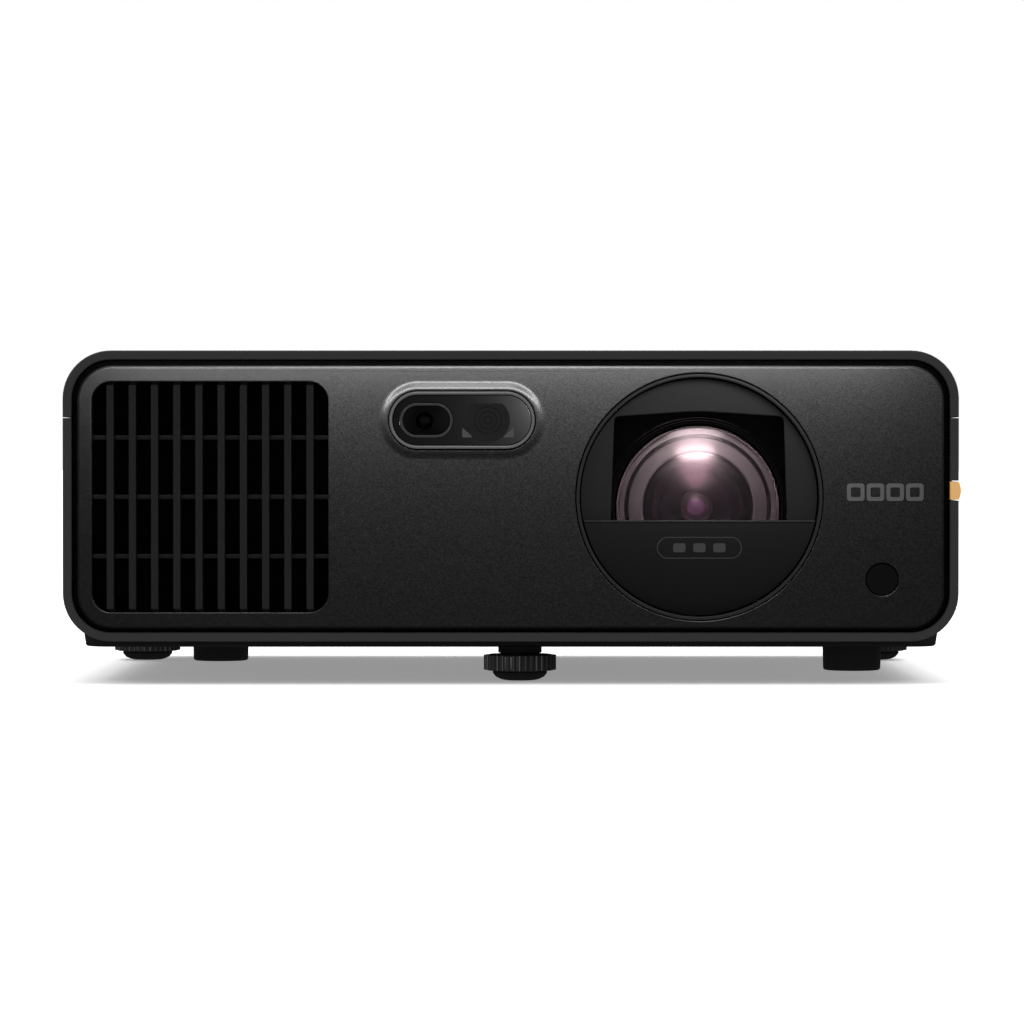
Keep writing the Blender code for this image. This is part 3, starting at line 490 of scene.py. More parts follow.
def close_tree(tree, geometry, material):
    """Ends a tree: its instances are made real, and take their material."""
    real = add_node(tree, "GeometryNodeRealizeInstances", {"Geometry": geometry})
    painted = add_node(
        tree,
        "GeometryNodeSetMaterial",
        {"Geometry": real.outputs["Geometry"], "Material": material},
    )
    add_node(tree, "NodeGroupOutput", {"Geometry": painted.outputs["Geometry"]})


def grown_from(tree, name, values):
    """A plain object made by a node group from its named sizes."""
    made = bpy.data.objects.new(name, bpy.data.meshes.new(name))
    bpy.context.scene.collection.objects.link(made)
    modifier = made.modifiers.new("sizes", "NODES")
    modifier.node_group = tree
    for item in tree.interface.items_tree:
        if item.in_out == "INPUT":
            modifier[item.identifier] = values[item.name]
    graph = bpy.context.evaluated_depsgraph_get()
    result = bpy.data.meshes.new_from_object(made.evaluated_get(graph))
    made.modifiers.clear()
    made.data = result
    smooth(result)
    return made


def screw_tree():
    """Pan heads with a crossed recess, along a line of places or at one place."""
    tree, sizes = geometry_tree(
        "screws",
        [
            ("First", "NodeSocketVector"), ("Step", "NodeSocketVector"), ("Count", "NodeSocketInt"),
            ("Tilt", "NodeSocketVector"), ("Head radius", "NodeSocketFloat"),
            ("Head height", "NodeSocketFloat"), ("Material", "NodeSocketMaterial"),
        ],
    )
    row = add_node(
        tree,
        "GeometryNodeMeshLine",
        {"Count": sizes["Count"], "Start Location": sizes["First"], "Offset": sizes["Step"]},
        mode="OFFSET",
    )
    head = add_node(
        tree,
        "GeometryNodeMeshCylinder",
        {
            "Vertices": 32,
            "Side Segments": 2,
            "Radius": sizes["Head radius"],
            "Depth": sizes["Head height"],
        },
    )
    half_slot = add_node(
        tree, "ShaderNodeMath", {0: sizes["Head radius"], 1: 1.15}, operation="MULTIPLY"
    )
    narrow = add_node(
        tree, "ShaderNodeMath", {0: sizes["Head radius"], 1: 0.3}, operation="MULTIPLY"
    )
    long_way = add_node(
        tree,
        "ShaderNodeCombineXYZ",
        {"X": half_slot.outputs[0], "Y": narrow.outputs[0], "Z": sizes["Head height"]},
    )
    cross_way = add_node(
        tree,
        "ShaderNodeCombineXYZ",
        {"X": narrow.outputs[0], "Y": half_slot.outputs[0], "Z": sizes["Head height"]},
    )
    lift = add_node(
        tree, "ShaderNodeMath", {0: sizes["Head height"], 1: 0.55}, operation="MULTIPLY"
    )
    raised = add_node(tree, "ShaderNodeCombineXYZ", {"Z": lift.outputs[0]})
    slots = []
    for size in (long_way, cross_way):
        block = add_node(tree, "GeometryNodeMeshCube", {"Size": size.outputs[0]})
        slots.append(
            add_node(
                tree,
                "GeometryNodeTransform",
                {"Geometry": block.outputs["Mesh"], "Translation": raised.outputs[0]},
            )
        )
    cut = add_node(
        tree, "GeometryNodeMeshBoolean", {"Mesh 1": head.outputs["Mesh"]}, operation="DIFFERENCE"
    )
    for slot in slots:
        tree.links.new(slot.outputs["Geometry"], cut.inputs["Mesh 2"])
    turn = add_node(tree, "FunctionNodeEulerToRotation", {"Euler": sizes["Tilt"]})
    placed = add_node(
        tree,
        "GeometryNodeInstanceOnPoints",
        {
            "Points": row.outputs["Mesh"],
            "Instance": cut.outputs["Mesh"],
            "Rotation": turn.outputs["Rotation"],
        },
    )
    close_tree(tree, placed.outputs["Instances"], sizes["Material"])
    return tree


inserts = []
for x, y, _ in CEILING_BOSSES:
    ring = [(0.00315, 0.0125), (0.00315, 0.0050), (0.0020, 0.0050), (0.0020, 0.0125)]
    inserts.append(lathed(soften([*ring, ring[0]], 0.0002)[:-1], (x + MIDDLE, y, 0), (0, 0, 1), 40))
settle(as_object("threaded_inserts", inserts, BRASS), "chassis", "steel")

screws = screw_tree()
for name, first, step, count, tilt in (
    (
        "underside_screws_front",
        (-0.135, -0.078, PLINTH_Z + 0.0002),
        (0.27, 0, 0),
        2,
        (math.pi, 0, 0),
    ),
    ("underside_screws_rear", (-0.075, 0.098, PLINTH_Z + 0.0002), (0.15, 0, 0), 2, (math.pi, 0, 0)),
    ("rear_screws", (-0.150, 0.1264, 0.030), (0.30, 0, 0), 2, (-math.pi / 2, 0, 0)),
):
    heads = grown_from(
        screws,
        name,
        {
            "First": (first[0] + MIDDLE, first[1], first[2]),
            "Step": step,
            "Count": count,
            "Tilt": tilt,
            "Head radius": 0.0028,
            "Head height": 0.0009,
            "Material": BLACK_STEEL,
        },
    )
    settle(heads, "chassis", "steel")

# ---- Top cover and keypad -------------------------------------------------------------------
# The upper half of the casing is a shallower moulding in the same plastic. Six satin keys come
# through it, each pressed down against its own spring; thin printed marks show the four ways.

cover_shell = moulding(
    [(trough(cover_low.z, TOP_Z, 0), both_ends(FRONT_Y, REAR_Y, 0.0007))], seen_front
)
top_cover = as_object("top_cover_moulding", [cover_shell], CASE_ABS)
KEYS = ("power_button", "ok_button", "up_button", "down_button", "left_button", "right_button")
# Smoother than the case, so that the keys show a soft sheen.
KEY_ABS = moulded_plastic("satin_key_abs", "#1a1a1b", "#232324", 0.36, 0.2, 0.004)
# Matt pale ink that stands out from the keys.
MARK_WHITE = moulded_plastic("printed_pale_ink", "#b9b9b6", "#c9c9c6", 0.6, 0.2, 0.002)


def key_shape(name):
    """A key's cap width, length and middle: its flange, under the cover, is 0.9 mm wider."""
    low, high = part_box(name)
    x, y = (low.x + high.x) / 2, (low.y + high.y) / 2
    return high.x - low.x - 0.0018, high.y - low.y - 0.0018, x, y


key_holes = []
for name in KEYS:
    width, length, x, y = key_shape(name)
    hole = rounded(width + 0.0007, length + 0.0007, 0.02, x, y, 10)
    key_holes.append(moulding([(hole, [(TOP_Z - 0.006, 0), (TOP_Z + 0.002, 0)])], seen_above))
carve(top_cover, *key_holes)
settle(top_cover, "chassis", "case_black_abs", "top_cover")
for name in KEYS:
    width, length, x, y = key_shape(name)
    low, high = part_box(name)
    cap = rounded(width, length, 0.02, x, y, 10)
    dish = [(high.z - 0.00025, 0.0022), (high.z - 0.00015, 0.0015), (high.z, 0.0009)]
    walls = dish + edge(high.z, -1, 0.0004)[1:] + [(low.z + 0.0046, 0)]
    key = as_object(name + "_cap", [moulding([(cap, walls)], seen_above)], KEY_ABS)
    settle(key, name + "_body", "satin_black_abs", name)
    mark_z = high.z - 0.00025
    if name == "ok_button":
        marks = [rounded(0.0026, 0.0026, 0.0013, x, y, 8)]
    elif name == "power_button":
        marks = []
    else:
        way = {"up": 90, "down": -90, "left": 180, "right": 0}[name.split("_")[0]]
        corners = []
        for turn in (0, 120, 240):
            angle = math.radians(way + turn)
            corners.append((x + 0.0011 * math.cos(angle), y + 0.0011 * math.sin(angle), 0.0001))
        marks = [filleted(corners, 2)]
    shells = [
        moulding([(m, [(mark_z - 0.0002, 0), (mark_z + 0.00003, 0)])], seen_above) for m in marks
    ]
    if name == "power_button":
        ring = [(0.0019, 0.00003), (0.0019, -0.0002), (0.0015, -0.0002), (0.0015, 0.00003)]
        shells = [lathed(ring, (x, y, mark_z), (0, 0, 1), 32)]
        bar = rounded(0.0004, 0.0016, 0.0001, x, y + 0.0014, 2)
        shells.append(moulding([(bar, [(mark_z - 0.0002, 0), (mark_z + 0.00005, 0)])], seen_above))
    settle(as_object(name + "_mark", shells, MARK_WHITE), name + "_body", "badge_grey")

# ---- Front panel ----------------------------------------------------------------------------
# The panel is moulded ABS, sprayed with a black paint that holds fine metal flake. Its face
# stands just proud of the casing, and swells into a smooth brow round the sensor window.


def flake_paint(name, base, flake, roughness):
    """Black paint with fine metal flake. The flakes are drawn 0.4 mm wide, coarser than real
    ones, so that they show: each takes its own brightness."""
    material, tree, shader, place = new_finish(name, IOR=1.5, Coat_Weight=0.35, Coat_Roughness=0.24)
    cells = add_node(tree, "ShaderNodeTexVoronoi", {"Vector": place, "Scale": 1000 / 0.42})
    spread = add_node(tree, "ShaderNodeSeparateColor", {"Color": cells.outputs["Color"]})
    stops = [(0.35, base), (1.0, flake)]
    colour = add_node(tree, "ShaderNodeValToRGB", {"Fac": spread.outputs["Red"]}, stops)
    tree.links.new(colour.outputs["Color"], shader.inputs["Base Color"])
    rough = add_node(
        tree,
        "ShaderNodeMapRange",
        {"Value": spread.outputs["Green"], "To Min": roughness - 0.07, "To Max": roughness + 0.07},
    )
    tree.links.new(rough.outputs["Result"], shader.inputs["Roughness"])
    peel = add_node(
        tree, "ShaderNodeTexNoise", {"Vector": place, "Scale": 1000 / 0.9, "Detail": 3.0}
    )
    bump = add_node(
        tree,
        "ShaderNodeBump",
        {"Height": peel.outputs["Fac"], "Distance": 0.00002, "Strength": 0.5},
    )
    tree.links.new(bump.outputs["Normal"], shader.inputs["Normal"])
    return material


# Under a satin coat the flakes give the black a faint sparkle.
PANEL_PAINT = flake_paint("black_flake_paint", "#0b0b0c", "#19191a", 0.44)
grille_low, grille_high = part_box("front_grille")
bezel_low, bezel_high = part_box("sensor_bezel")
ring_low, ring_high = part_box("lens_ring")
ir_low, ir_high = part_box("ir_window")
PANEL_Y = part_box("front_panel")[0].y
PANEL_Z = 0.06995
GRILLE_X = (grille_low.x + grille_high.x) / 2
GRILLE_SIZE = (grille_high.x - grille_low.x - 0.006, grille_high.z - grille_low.z - 0.006)
SENSOR = ((bezel_low.x + bezel_high.x) / 2, (bezel_low.z + bezel_high.z) / 2)
RING = ((ring_low.x + ring_high.x) / 2, (ring_low.z + ring_high.z) / 2)
IR = ((ir_low.x + ir_high.x) / 2, (ir_low.z + ir_high.z) / 2)

panel_back = PANEL_Y + 0.0042
hole_back = [(panel_back, 0)]
chamfer = [
    (0, 0.00095), (0, 0.0007), (0.00006, 0.0006), (0.0003, 0.00018), (0.0004, 0.00004), (0.0008, 0)
]
chamfer = [(PANEL_Y + depth, by) for depth, by in chamfer]
brow_height, brow_reach = 0.0010, 0.0034
brow = [(PANEL_Y, brow_reach + 0.0010), (PANEL_Y, brow_reach + 0.0008)]
for step in range(13):
    reach = brow_reach * (1 - step / 12) + 0.0005
    rise = brow_height * 0.5 * (1 + math.cos(math.pi * (reach - 0.0005) / brow_reach))
    brow.append((PANEL_Y - rise, reach))
brow += [(PANEL_Y - brow_height + 0.00012, 0.0002), (PANEL_Y - brow_height + 0.0005, 0), *hole_back]
panel_face = moulding(
    [
        (rounded(0.3238, 0.0981, 0.0130, MIDDLE, PANEL_Z, 14), chamfer + hole_back),
        (
            rounded(*GRILLE_SIZE, 0.0073, GRILLE_X, (grille_low.z + grille_high.z) / 2, 10),
            edge(PANEL_Y, 1, 0.0003) + hole_back,
        ),
        (
            rounded(
                bezel_high.x - bezel_low.x + 0.0005,
                bezel_high.z - bezel_low.z + 0.0005,
                0.02,
                *SENSOR,
                20,
            ),
            brow,
        ),
        (rounded(0.0928, 0.0928, 0.0464, *RING, 32), edge(PANEL_Y, 1, 0.0003) + hole_back),
        (rounded(0.0124, 0.0124, 0.0062, *IR, 12), edge(PANEL_Y, 1, 0.0003) + hole_back),
    ],
    seen_front,
)
# A matt flange behind the face fills the gap to the casing and keeps light out. It is near-black:
# painted shade that makes the groove round the panel read black.
PAINTED_SHADE_BLACK = moulded_plastic("matt_black_baffle", "#040404", "#070707", 0.75, 0.4, 0.01)
grown = 0.0011
flange_walls = []
for outline in (
    rounded(0.3272, 0.1012, 0.0142, MIDDLE, 0.0704, 14),
    rounded(*GRILLE_SIZE, 0.0073, GRILLE_X, (grille_low.z + grille_high.z) / 2, 10),
    rounded(
        bezel_high.x - bezel_low.x + grown, bezel_high.z - bezel_low.z + grown, 0.02, *SENSOR, 20
    ),
    rounded(0.0919, 0.0919, 0.04595, *RING, 32),
    rounded(0.0140, 0.0140, 0.0070, *IR, 12),
):
    flange_walls.append((outline, [(panel_back - 0.0006, 0), (PANEL_Y + 0.006, 0)]))
panel = as_object("front_panel_face", [panel_face], PANEL_PAINT)
settle(panel, "chassis", "panel_black_paint", "front_panel")
flange = as_object("front_panel_flange", [moulding(flange_walls, seen_front)], PAINTED_SHADE_BLACK)
settle(flange, "chassis", "satin_black_abs")

# ---- Intake grille and filter ---------------------------------------------------------------
# Ten upright louvre bars with softened edges are moulded in one with three thin level bars set
# back behind them. A sheet of open-cell foam behind keeps dust out of the fan.


def bar_tree():
    """A row of straight bars with rounded edges, each from Start to End, a Step apart."""
    tree, sizes = geometry_tree(
        "bars",
        [
            ("Start", "NodeSocketVector"), ("End", "NodeSocketVector"),
            ("Step", "NodeSocketVector"), ("Count", "NodeSocketInt"), ("Width", "NodeSocketFloat"),
            ("Depth", "NodeSocketFloat"), ("Edge radius", "NodeSocketFloat"),
            ("Material", "NodeSocketMaterial"),
        ],
    )
    path = add_node(
        tree, "GeometryNodeCurvePrimitiveLine", {"Start": sizes["Start"], "End": sizes["End"]}
    )
    section = add_node(
        tree,
        "GeometryNodeCurvePrimitiveQuadrilateral",
        {"Width": sizes["Width"], "Height": sizes["Depth"]},
    )
    fillet = add_node(
        tree,
        "GeometryNodeFilletCurve",
        {"Curve": section.outputs["Curve"], "Count": 3, "Radius": sizes["Edge radius"]},
        mode="POLY",
    )
    bar = add_node(
        tree,
        "GeometryNodeCurveToMesh",
        {
            "Curve": path.outputs["Curve"],
            "Profile Curve": fillet.outputs["Curve"],
            "Fill Caps": True,
        },
    )
    row = add_node(
        tree,
        "GeometryNodeMeshLine",
        {"Count": sizes["Count"], "Offset": sizes["Step"]},
        mode="OFFSET",
    )
    placed = add_node(
        tree,
        "GeometryNodeInstanceOnPoints",
        {"Points": row.outputs["Mesh"], "Instance": bar.outputs["Mesh"]},
    )
    close_tree(tree, placed.outputs["Instances"], sizes["Material"])
    return tree


bars = bar_tree()


def bar_row(name, start, end, step, count, width, depth, radius, material):
    """A row of bars as a plain object: the first runs from start to end, the next a step on."""
    values = {"Start": start, "End": end, "Step": step, "Count": count, "Width": width}
    values |= {"Depth": depth, "Edge radius": radius, "Material": material}
    return grown_from(bars, name, values)


# A little glossier than the case: each bar has a soft bright line along its edges.
GRILLE_ABS = moulded_plastic("moulded_black_abs", "#252526", "#2f2f30", 0.48, 0.3, 0.008)
GRILLE_Z = (grille_low.z + grille_high.z) / 2
BAR_PITCH = 0.0083
bar_front, bar_back = grille_low.y, grille_high.y
first_bar = GRILLE_X - BAR_PITCH * 4.5
bar_middle = (bar_front + bar_back) / 2
half_bar = GRILLE_SIZE[1] / 2 - 0.0013
uprights = bar_row(
    "grille_upright_bars",
    (first_bar, bar_middle, GRILLE_Z - half_bar),
    (first_bar, bar_middle, GRILLE_Z + half_bar),
    (BAR_PITCH, 0, 0),
    10,
    0.0027,
    bar_back - bar_front,
    0.00045,
    GRILLE_ABS,
)
settle(uprights, "chassis", "case_black_abs", "front_grille")
tails = bar_row(
    "grille_bar_tails",
    (first_bar, bar_back - 0.0016, GRILLE_Z - half_bar - 0.002),
    (first_bar, bar_back - 0.0016, GRILLE_Z + half_bar + 0.002),
    (BAR_PITCH, 0, 0),
    10,
    0.0025,
    0.0022,
    0.0001,
    GRILLE_ABS,
)
settle(tails, "chassis", "case_black_abs")
levels = bar_row(
    "grille_level_bars",
    (GRILLE_X - GRILLE_SIZE[0] / 2 - 0.001, bar_back - 0.0023, GRILLE_Z - 0.02225),
    (GRILLE_X + GRILLE_SIZE[0] / 2 + 0.001, bar_back - 0.0023, GRILLE_Z - 0.02225),
    (0, 0, 0.02225),
    3,
    0.0016,
    0.00175,
    0.0003,
    GRILLE_ABS,
)
settle(levels, "chassis", "case_black_abs")
surround_walls = []
for outline in (
    rounded(
        grille_high.x - grille_low.x, grille_high.z - grille_low.z, 0.004, GRILLE_X, GRILLE_Z, 6
    ),
    rounded(*GRILLE_SIZE, 0.0073, GRILLE_X, GRILLE_Z, 10),
):
    surround_walls.append((outline, [(bar_back - 0.003, 0), (bar_back, 0)]))
surround = as_object("grille_surround", [moulding(surround_walls, seen_front)], GRILLE_ABS)
settle(surround, "chassis", "case_black_abs")

# Black foam with open pores, 0.9 mm wide: it swallows the light behind the bars.
filter_foam, tree, shader, place = new_finish("open_cell_foam", Roughness=0.95)
pores = add_node(tree, "ShaderNodeTexVoronoi", {"Vector": place, "Scale": 1000 / 0.9})
stops = [(0.0, "#010101"), (1.0, "#050505")]
tint = add_node(tree, "ShaderNodeValToRGB", {"Fac": pores.outputs["Distance"]}, stops)
tree.links.new(tint.outputs["Color"], shader.inputs["Base Color"])
pits = add_node(tree, "ShaderNodeBump", {"Height": pores.outputs["Distance"], "Distance": 0.0004})
tree.links.new(pits.outputs["Normal"], shader.inputs["Normal"])


def repaint(material, *nodes):
    """A frame solid whose shape is right keeps it and takes a finish."""
    for name in nodes:
        for layer in frame["nodes"][name].material_slots:
            layer.material = material


repaint(filter_foam, "air_filter")

# ---- Sensor window --------------------------------------------------------------------------
# A satin pill-shaped bezel holds a polished smoked window. A small camera looks out of a hooded
# funnel on the left, and a range sensor sits behind the window on the right.

# Satin black: broad, soft highlights run round the ring.
SATIN_ABS = moulded_plastic("satin_black_abs", "#2a2a2b", "#323233", 0.40, 0.25, 0.004)


def polished(name, dark, roughness, light):
    """Polished plastic, nearly black: it mirrors the room, with a faint moulded waviness."""
    material, tree, shader, place = new_finish(name, IOR=1.58, Coat_Weight=0.6, Coat_Roughness=0.4)
    wave = add_node(tree, "ShaderNodeTexNoise", {"Vector": place, "Scale": 60.0, "Detail": 1.0})
    stops = [(0.0, dark), (1.0, light)]
    shade = add_node(tree, "ShaderNodeValToRGB", {"Fac": wave.outputs["Fac"]}, stops)
    tree.links.new(shade.outputs["Color"], shader.inputs["Base Color"])
    rough = add_node(
        tree,
        "ShaderNodeMapRange",
        {"Value": wave.outputs["Fac"], "To Min": roughness * 0.7, "To Max": roughness * 1.3},
    )
    tree.links.new(rough.outputs["Result"], shader.inputs["Roughness"])
    bump = add_node(
        tree,
        "ShaderNodeBump",
        {"Height": wave.outputs["Fac"], "Distance": 0.00001, "Strength": 0.3},
    )
    tree.links.new(bump.outputs["Normal"], shader.inputs["Normal"])
    return material


# Polished and nearly black: it holds a dim reflection of the lights.
SMOKED = polished("smoked_polycarbonate", "#060607", 0.08, "#0c0c0d")
# Satin black, on which thin rings show only where light grazes them.
RING_BLACK = moulded_plastic("satin_optic_black", "#171718", "#1e1e1f", 0.32, 0.2, 0.002)
# Polished black, which makes the hole round a glass look deep.
LENS_BLACK = polished("black_optic_plastic", "#050506", 0.12, "#0a0a0b")
# Satin, mid-grey: painted light, lighter than the satin black round it, which draws a thin bright
# outline round the window.
BEZEL_PAINTED_LIGHT_GREY = moulded_plastic("satin_grey_abs", "#68686a", "#747476", 0.34, 0.25, 0.003)
bezel_size = (bezel_high.x - bezel_low.x, bezel_high.z - bezel_low.z)
outer_pill = rounded(*bezel_size, 0.02, *SENSOR, 20)
inner_pill = rounded(bezel_size[0] - 0.0022, bezel_size[1] - 0.0022, 0.02, *SENSOR, 20)
bezel_walls = edge(bezel_low.y, 1, 0.00035) + [(bezel_high.y, 0)]
bezel = as_object(
    "sensor_bezel_ring",
    [moulding([(outer_pill, bezel_walls), (inner_pill, bezel_walls)], seen_front)],
    BEZEL_PAINTED_LIGHT_GREY,
)
settle(bezel, "chassis", "satin_black_abs", "sensor_bezel")
hood_low, hood_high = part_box("camera_hood")
window_low, window_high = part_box("sensor_window")
CAMERA = ((hood_low.x + hood_high.x) / 2, (hood_low.z + hood_high.z) / 2)
window_pill = rounded(window_high.x - window_low.x, window_high.z - window_low.z, 0.02, *SENSOR, 20)
hood_hole = rounded(0.0200, 0.0132, 0.02, *CAMERA, 20)
window_walls = edge(window_low.y, 1, 0.0001) + [(window_high.y, 0)]
window = as_object(
    "sensor_window_pane",
    [moulding([(window_pill, window_walls), (hood_hole, window_walls)], seen_front)],
    SMOKED,
)
settle(window, "chassis", "smoked_polycarbonate", "sensor_window")
hood_outer = rounded(0.0196, 0.0128, 0.0063, *CAMERA, 20)
hood_inner = rounded(0.0180, 0.0112, 0.0055, *CAMERA, 20)
hood_walls = edge(hood_low.y + 0.0003, 1, 0.0003) + [(hood_high.y, 0)]
# The hood ring takes the same painted light.
hood = as_object(
    "camera_hood_ring",
    [moulding([(hood_outer, hood_walls), (hood_inner, hood_walls)], seen_front)],
    BEZEL_PAINTED_LIGHT_GREY,
)
settle(hood, "chassis", "satin_black_abs", "camera_hood")


def funnel(mouth, throat, front_y, back_y, wall=0.0003):
    """A thin closed funnel from one outline to another of as many points."""
    shell = bmesh.new()
    rings = []
    for outline, y in (
        (mouth, front_y),
        (throat, back_y),
        (inset(throat, -wall), back_y + wall),
        (inset(mouth, -wall), front_y + wall),
    ):
        rings.append([shell.verts.new((u, y, v)) for u, v in outline])
    for number, ring in enumerate(rings):
        other = rings[(number + 1) % 4]
        for i in range(len(ring)):
            j = (i + 1) % len(ring)
            shell.faces.new((ring[i], ring[j], other[j], other[i]))
    bmesh.ops.recalc_face_normals(shell, faces=shell.faces)
    return shell


mouth = rounded(0.0179, 0.0111, 0.0055, *CAMERA, 20)
throat = rounded(0.0066, 0.0066, 0.0033, CAMERA[0] - 0.0008, CAMERA[1] - 0.0002, 20)
well = as_object(
    "camera_funnel", [funnel(mouth, throat, hood_low.y + 0.0009, hood_low.y + 0.0058)], RING_BLACK
)
settle(well, "chassis", "satin_black_abs")
eye = [
    (0, 0.0012), (0.0010, 0.0011), (0.0020, 0.0007), (0.0027, 0), (0.0033, -0.0002),
    (0.0045, -0.0004),
]
eye += [(0.0045, -0.006), (0, -0.006)]
camera_eye = as_object(
    "camera_eye",
    [lathed(eye, (CAMERA[0] - 0.0008, hood_low.y + 0.0068, CAMERA[1]), (0, -1, 0), 40)],
    LENS_BLACK,
)
settle(camera_eye, "chassis", "smoked_polycarbonate", "camera_module")
range_low, range_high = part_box("range_sensor")
RANGE = ((range_low.x + range_high.x) / 2, SENSOR[1])
# The disc has a flat top, where 80 degrees of its round edge are cut off straight.
disc = [
    (RANGE[0] + 0.0082 * math.cos(a), RANGE[1] + 0.0082 * math.sin(a))
    for a in (math.radians(130 + 280 * n / 40) for n in range(41))
]
pane_y = window_low.y
range_disc = as_object(
    "range_sensor_disc",
    [moulding([(disc, [(pane_y - 0.00004, 0.0), (pane_y + 0.0004, 0.0)])], seen_front)],
    moulded_plastic("dark_filter_glass", "#2b2b2c", "#303031", 0.3, 0.2, 0.001),
)
settle(range_disc, "chassis", "smoked_polycarbonate", "range_sensor")
corner_pieces = []
for side in (-1, 1):
    foot = (RANGE[0] + side * 0.0096, RANGE[1] - 0.0064)
    triangle = [
        (*foot, 0.0001),
        (foot[0], foot[1] + 0.0037, 0.0002),
        (foot[0] - side * 0.0040, foot[1], 0.0002),
    ]
    outline = filleted(triangle, 2)
    corner_pieces.append(
        moulding([(outline, [(pane_y - 0.00003, 0), (pane_y + 0.0004, 0)])], seen_front)
    )
# Matt film: two small, light corners.
GREY_CORNER = moulded_plastic("grey_reflector_film", "#616162", "#6b6b6c", 0.4, 0.3, 0.002)
settle(as_object("range_sensor_corners", corner_pieces, GREY_CORNER), "chassis", "badge_grey")
swirl = []
for radius in (0.0016, 0.0034, 0.0052):
    band = [
        (radius, 0.00006), (radius, -0.0001), (radius - 0.0003, -0.0001), (radius - 0.0003, 0.00006)
    ]
    swirl.append(lathed(band, (RANGE[0], pane_y, RANGE[1]), (0, -1, 0), 48))
settle(as_object("range_sensor_rings", swirl, RING_BLACK), "chassis", "satin_black_abs")

# ---- Infra-red window, badge and side tab ---------------------------------------------------
# The remote's receiver looks out through a round black window. The badge is a plain row of
# printed squares. The amber tab is clipped into a notch in the right wall.

ir_profile = [
    (0, 0), (0.0052, 0), (0.0058, -0.00015), (0.0060, -0.0005), (0.0060, -0.005), (0, -0.005)
]
ir_piece = as_object(
    "infra_red_window", [lathed(ir_profile, (IR[0], ir_low.y, IR[1]), (0, -1, 0), 64)], SMOKED
)
settle(ir_piece, "chassis", "smoked_polycarbonate", "ir_window")
badge_low, badge_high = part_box("badge_plate")
# Grey ink, even and a little paler than the paint round it.
BADGE_INK = moulded_plastic("printed_grey_ink", "#474747", "#545454", 0.45, 0.3, 0.002)
side = badge_high.z - badge_low.z - 0.0004
glyphs = []
for number in range(4):
    u = badge_low.x + side / 2 + number * (badge_high.x - badge_low.x - side) / 3
    v = (badge_low.z + badge_high.z) / 2
    outline = rounded(side - 0.0012, side - 0.0012, 0.0012, u, v, 6)
    hollow = rounded(side - 0.0042, side - 0.0042, 0.0006, u, v, 6)
    walls = [(badge_high.y + 0.0001, 0), (PANEL_Y + 0.0002, 0)]
    glyphs.append(moulding([(outline, walls), (hollow, walls)], seen_front))
settle(as_object("badge_squares", glyphs, BADGE_INK), "chassis", "badge_grey", "badge_plate")

# An even, warm amber with a soft sheen.
AMBER_ABS = moulded_plastic("amber_abs", "#cf9b55", "#dca963", 0.42, 0.3, 0.004)
tab_z, tab_half = (tab_low.z + tab_high.z) / 2, (tab_high.z - tab_low.z) / 2
crown = tab_high.x - case_high.x
tab_radius = (tab_half**2 + crown**2) / (2 * crown)
swing = 2 * math.atan(crown / tab_half)
tab_outline = [(tab_low.x, tab_z + tab_half), (tab_low.x, tab_z - tab_half)]
for step in range(13):
    angle = swing * (step / 6 - 1)
    tab_outline.append(
        (
            tab_high.x - tab_radius + tab_radius * math.cos(angle),
            tab_z + tab_radius * math.sin(angle),
        )
    )
tab_walls = edge(tab_low.y, 1, 0.0003) + edge(tab_high.y, -1, 0.0003)[::-1]
tab = as_object("accent_tab_clip", [moulding([(tab_outline, tab_walls)], seen_front)], AMBER_ABS)
settle(tab, "chassis", "amber_abs", "accent_tab")

# ---- Lens surround --------------------------------------------------------------------------
# A satin ring is let into the panel. Inside it a shroud with an arched window keeps stray light
# off the glass, and a curved cover closes the lower part, with an outlined pill printed on it.

DEEP = Vector((0, -1, 0))
ring_profile = [(0.0460, 0), (0.0460, -0.012), (0.0448, -0.012), (0.0448, 0)]
ring_shape = soften([(0.0454, 0), *ring_profile, (0.0454, 0)], 0.00025)[:-1]
lens_ring = as_object(
    "lens_surround_ring", [lathed(ring_shape, (RING[0], ring_low.y, RING[1]), DEEP, 128)], SATIN_ABS
)
settle(lens_ring, "chassis", "satin_black_abs", "lens_ring")
shroud_low, shroud_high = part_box("lens_shroud")
sill_low, sill_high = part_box("lens_sill")
SILL_Z = sill_high.z
# Satin, darker than the ring: painted shade, so that the window in it looks set back.
SHROUD_PAINTED_SHADE_ABS = moulded_plastic("satin_shroud_abs", "#222223", "#282829", 0.45, 0.25, 0.004)
window_corners = [
    (RING[0] + 0.0317, 0.1001, 0.0020), (RING[0], 0.1022, 0.08), (RING[0] - 0.0317, 0.1001, 0.0020),
    (RING[0] - 0.0334, SILL_Z - 0.0090, 0.0022), (RING[0] + 0.0334, SILL_Z - 0.0090, 0.0022),
]
arch = filleted(window_corners, 8)
shroud_face = shroud_low.y + 0.0006
disc_walls = [(shroud_face, 0.0), (shroud_high.y, 0)]
arch_walls = edge(shroud_face, 1, 0.0003) + [(shroud_high.y, 0)]
shroud = moulding(
    [(rounded(0.0884, 0.0884, 0.0442, *RING, 32), disc_walls), (arch, arch_walls)], seen_front
)
tunnel = funnel(
    inset(arch, -0.0006), inset(arch, -0.0022), shroud_high.y - 0.0002, shroud_high.y + 0.0065
)
settle(
    as_object("lens_shroud_face", [shroud], SHROUD_PAINTED_SHADE_ABS), "chassis", "satin_black_abs", "lens_shroud"
)
# The tunnel walls are near-black: painted shade inside the window.
settle(as_object("lens_tunnel", [tunnel], PAINTED_SHADE_BLACK), "chassis", "satin_black_abs")
glass_low, glass_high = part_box("front_lens")
LENS = Vector(
    ((glass_low.x + glass_high.x) / 2, glass_high.y - 0.0015, (glass_low.z + glass_high.z) / 2)
)
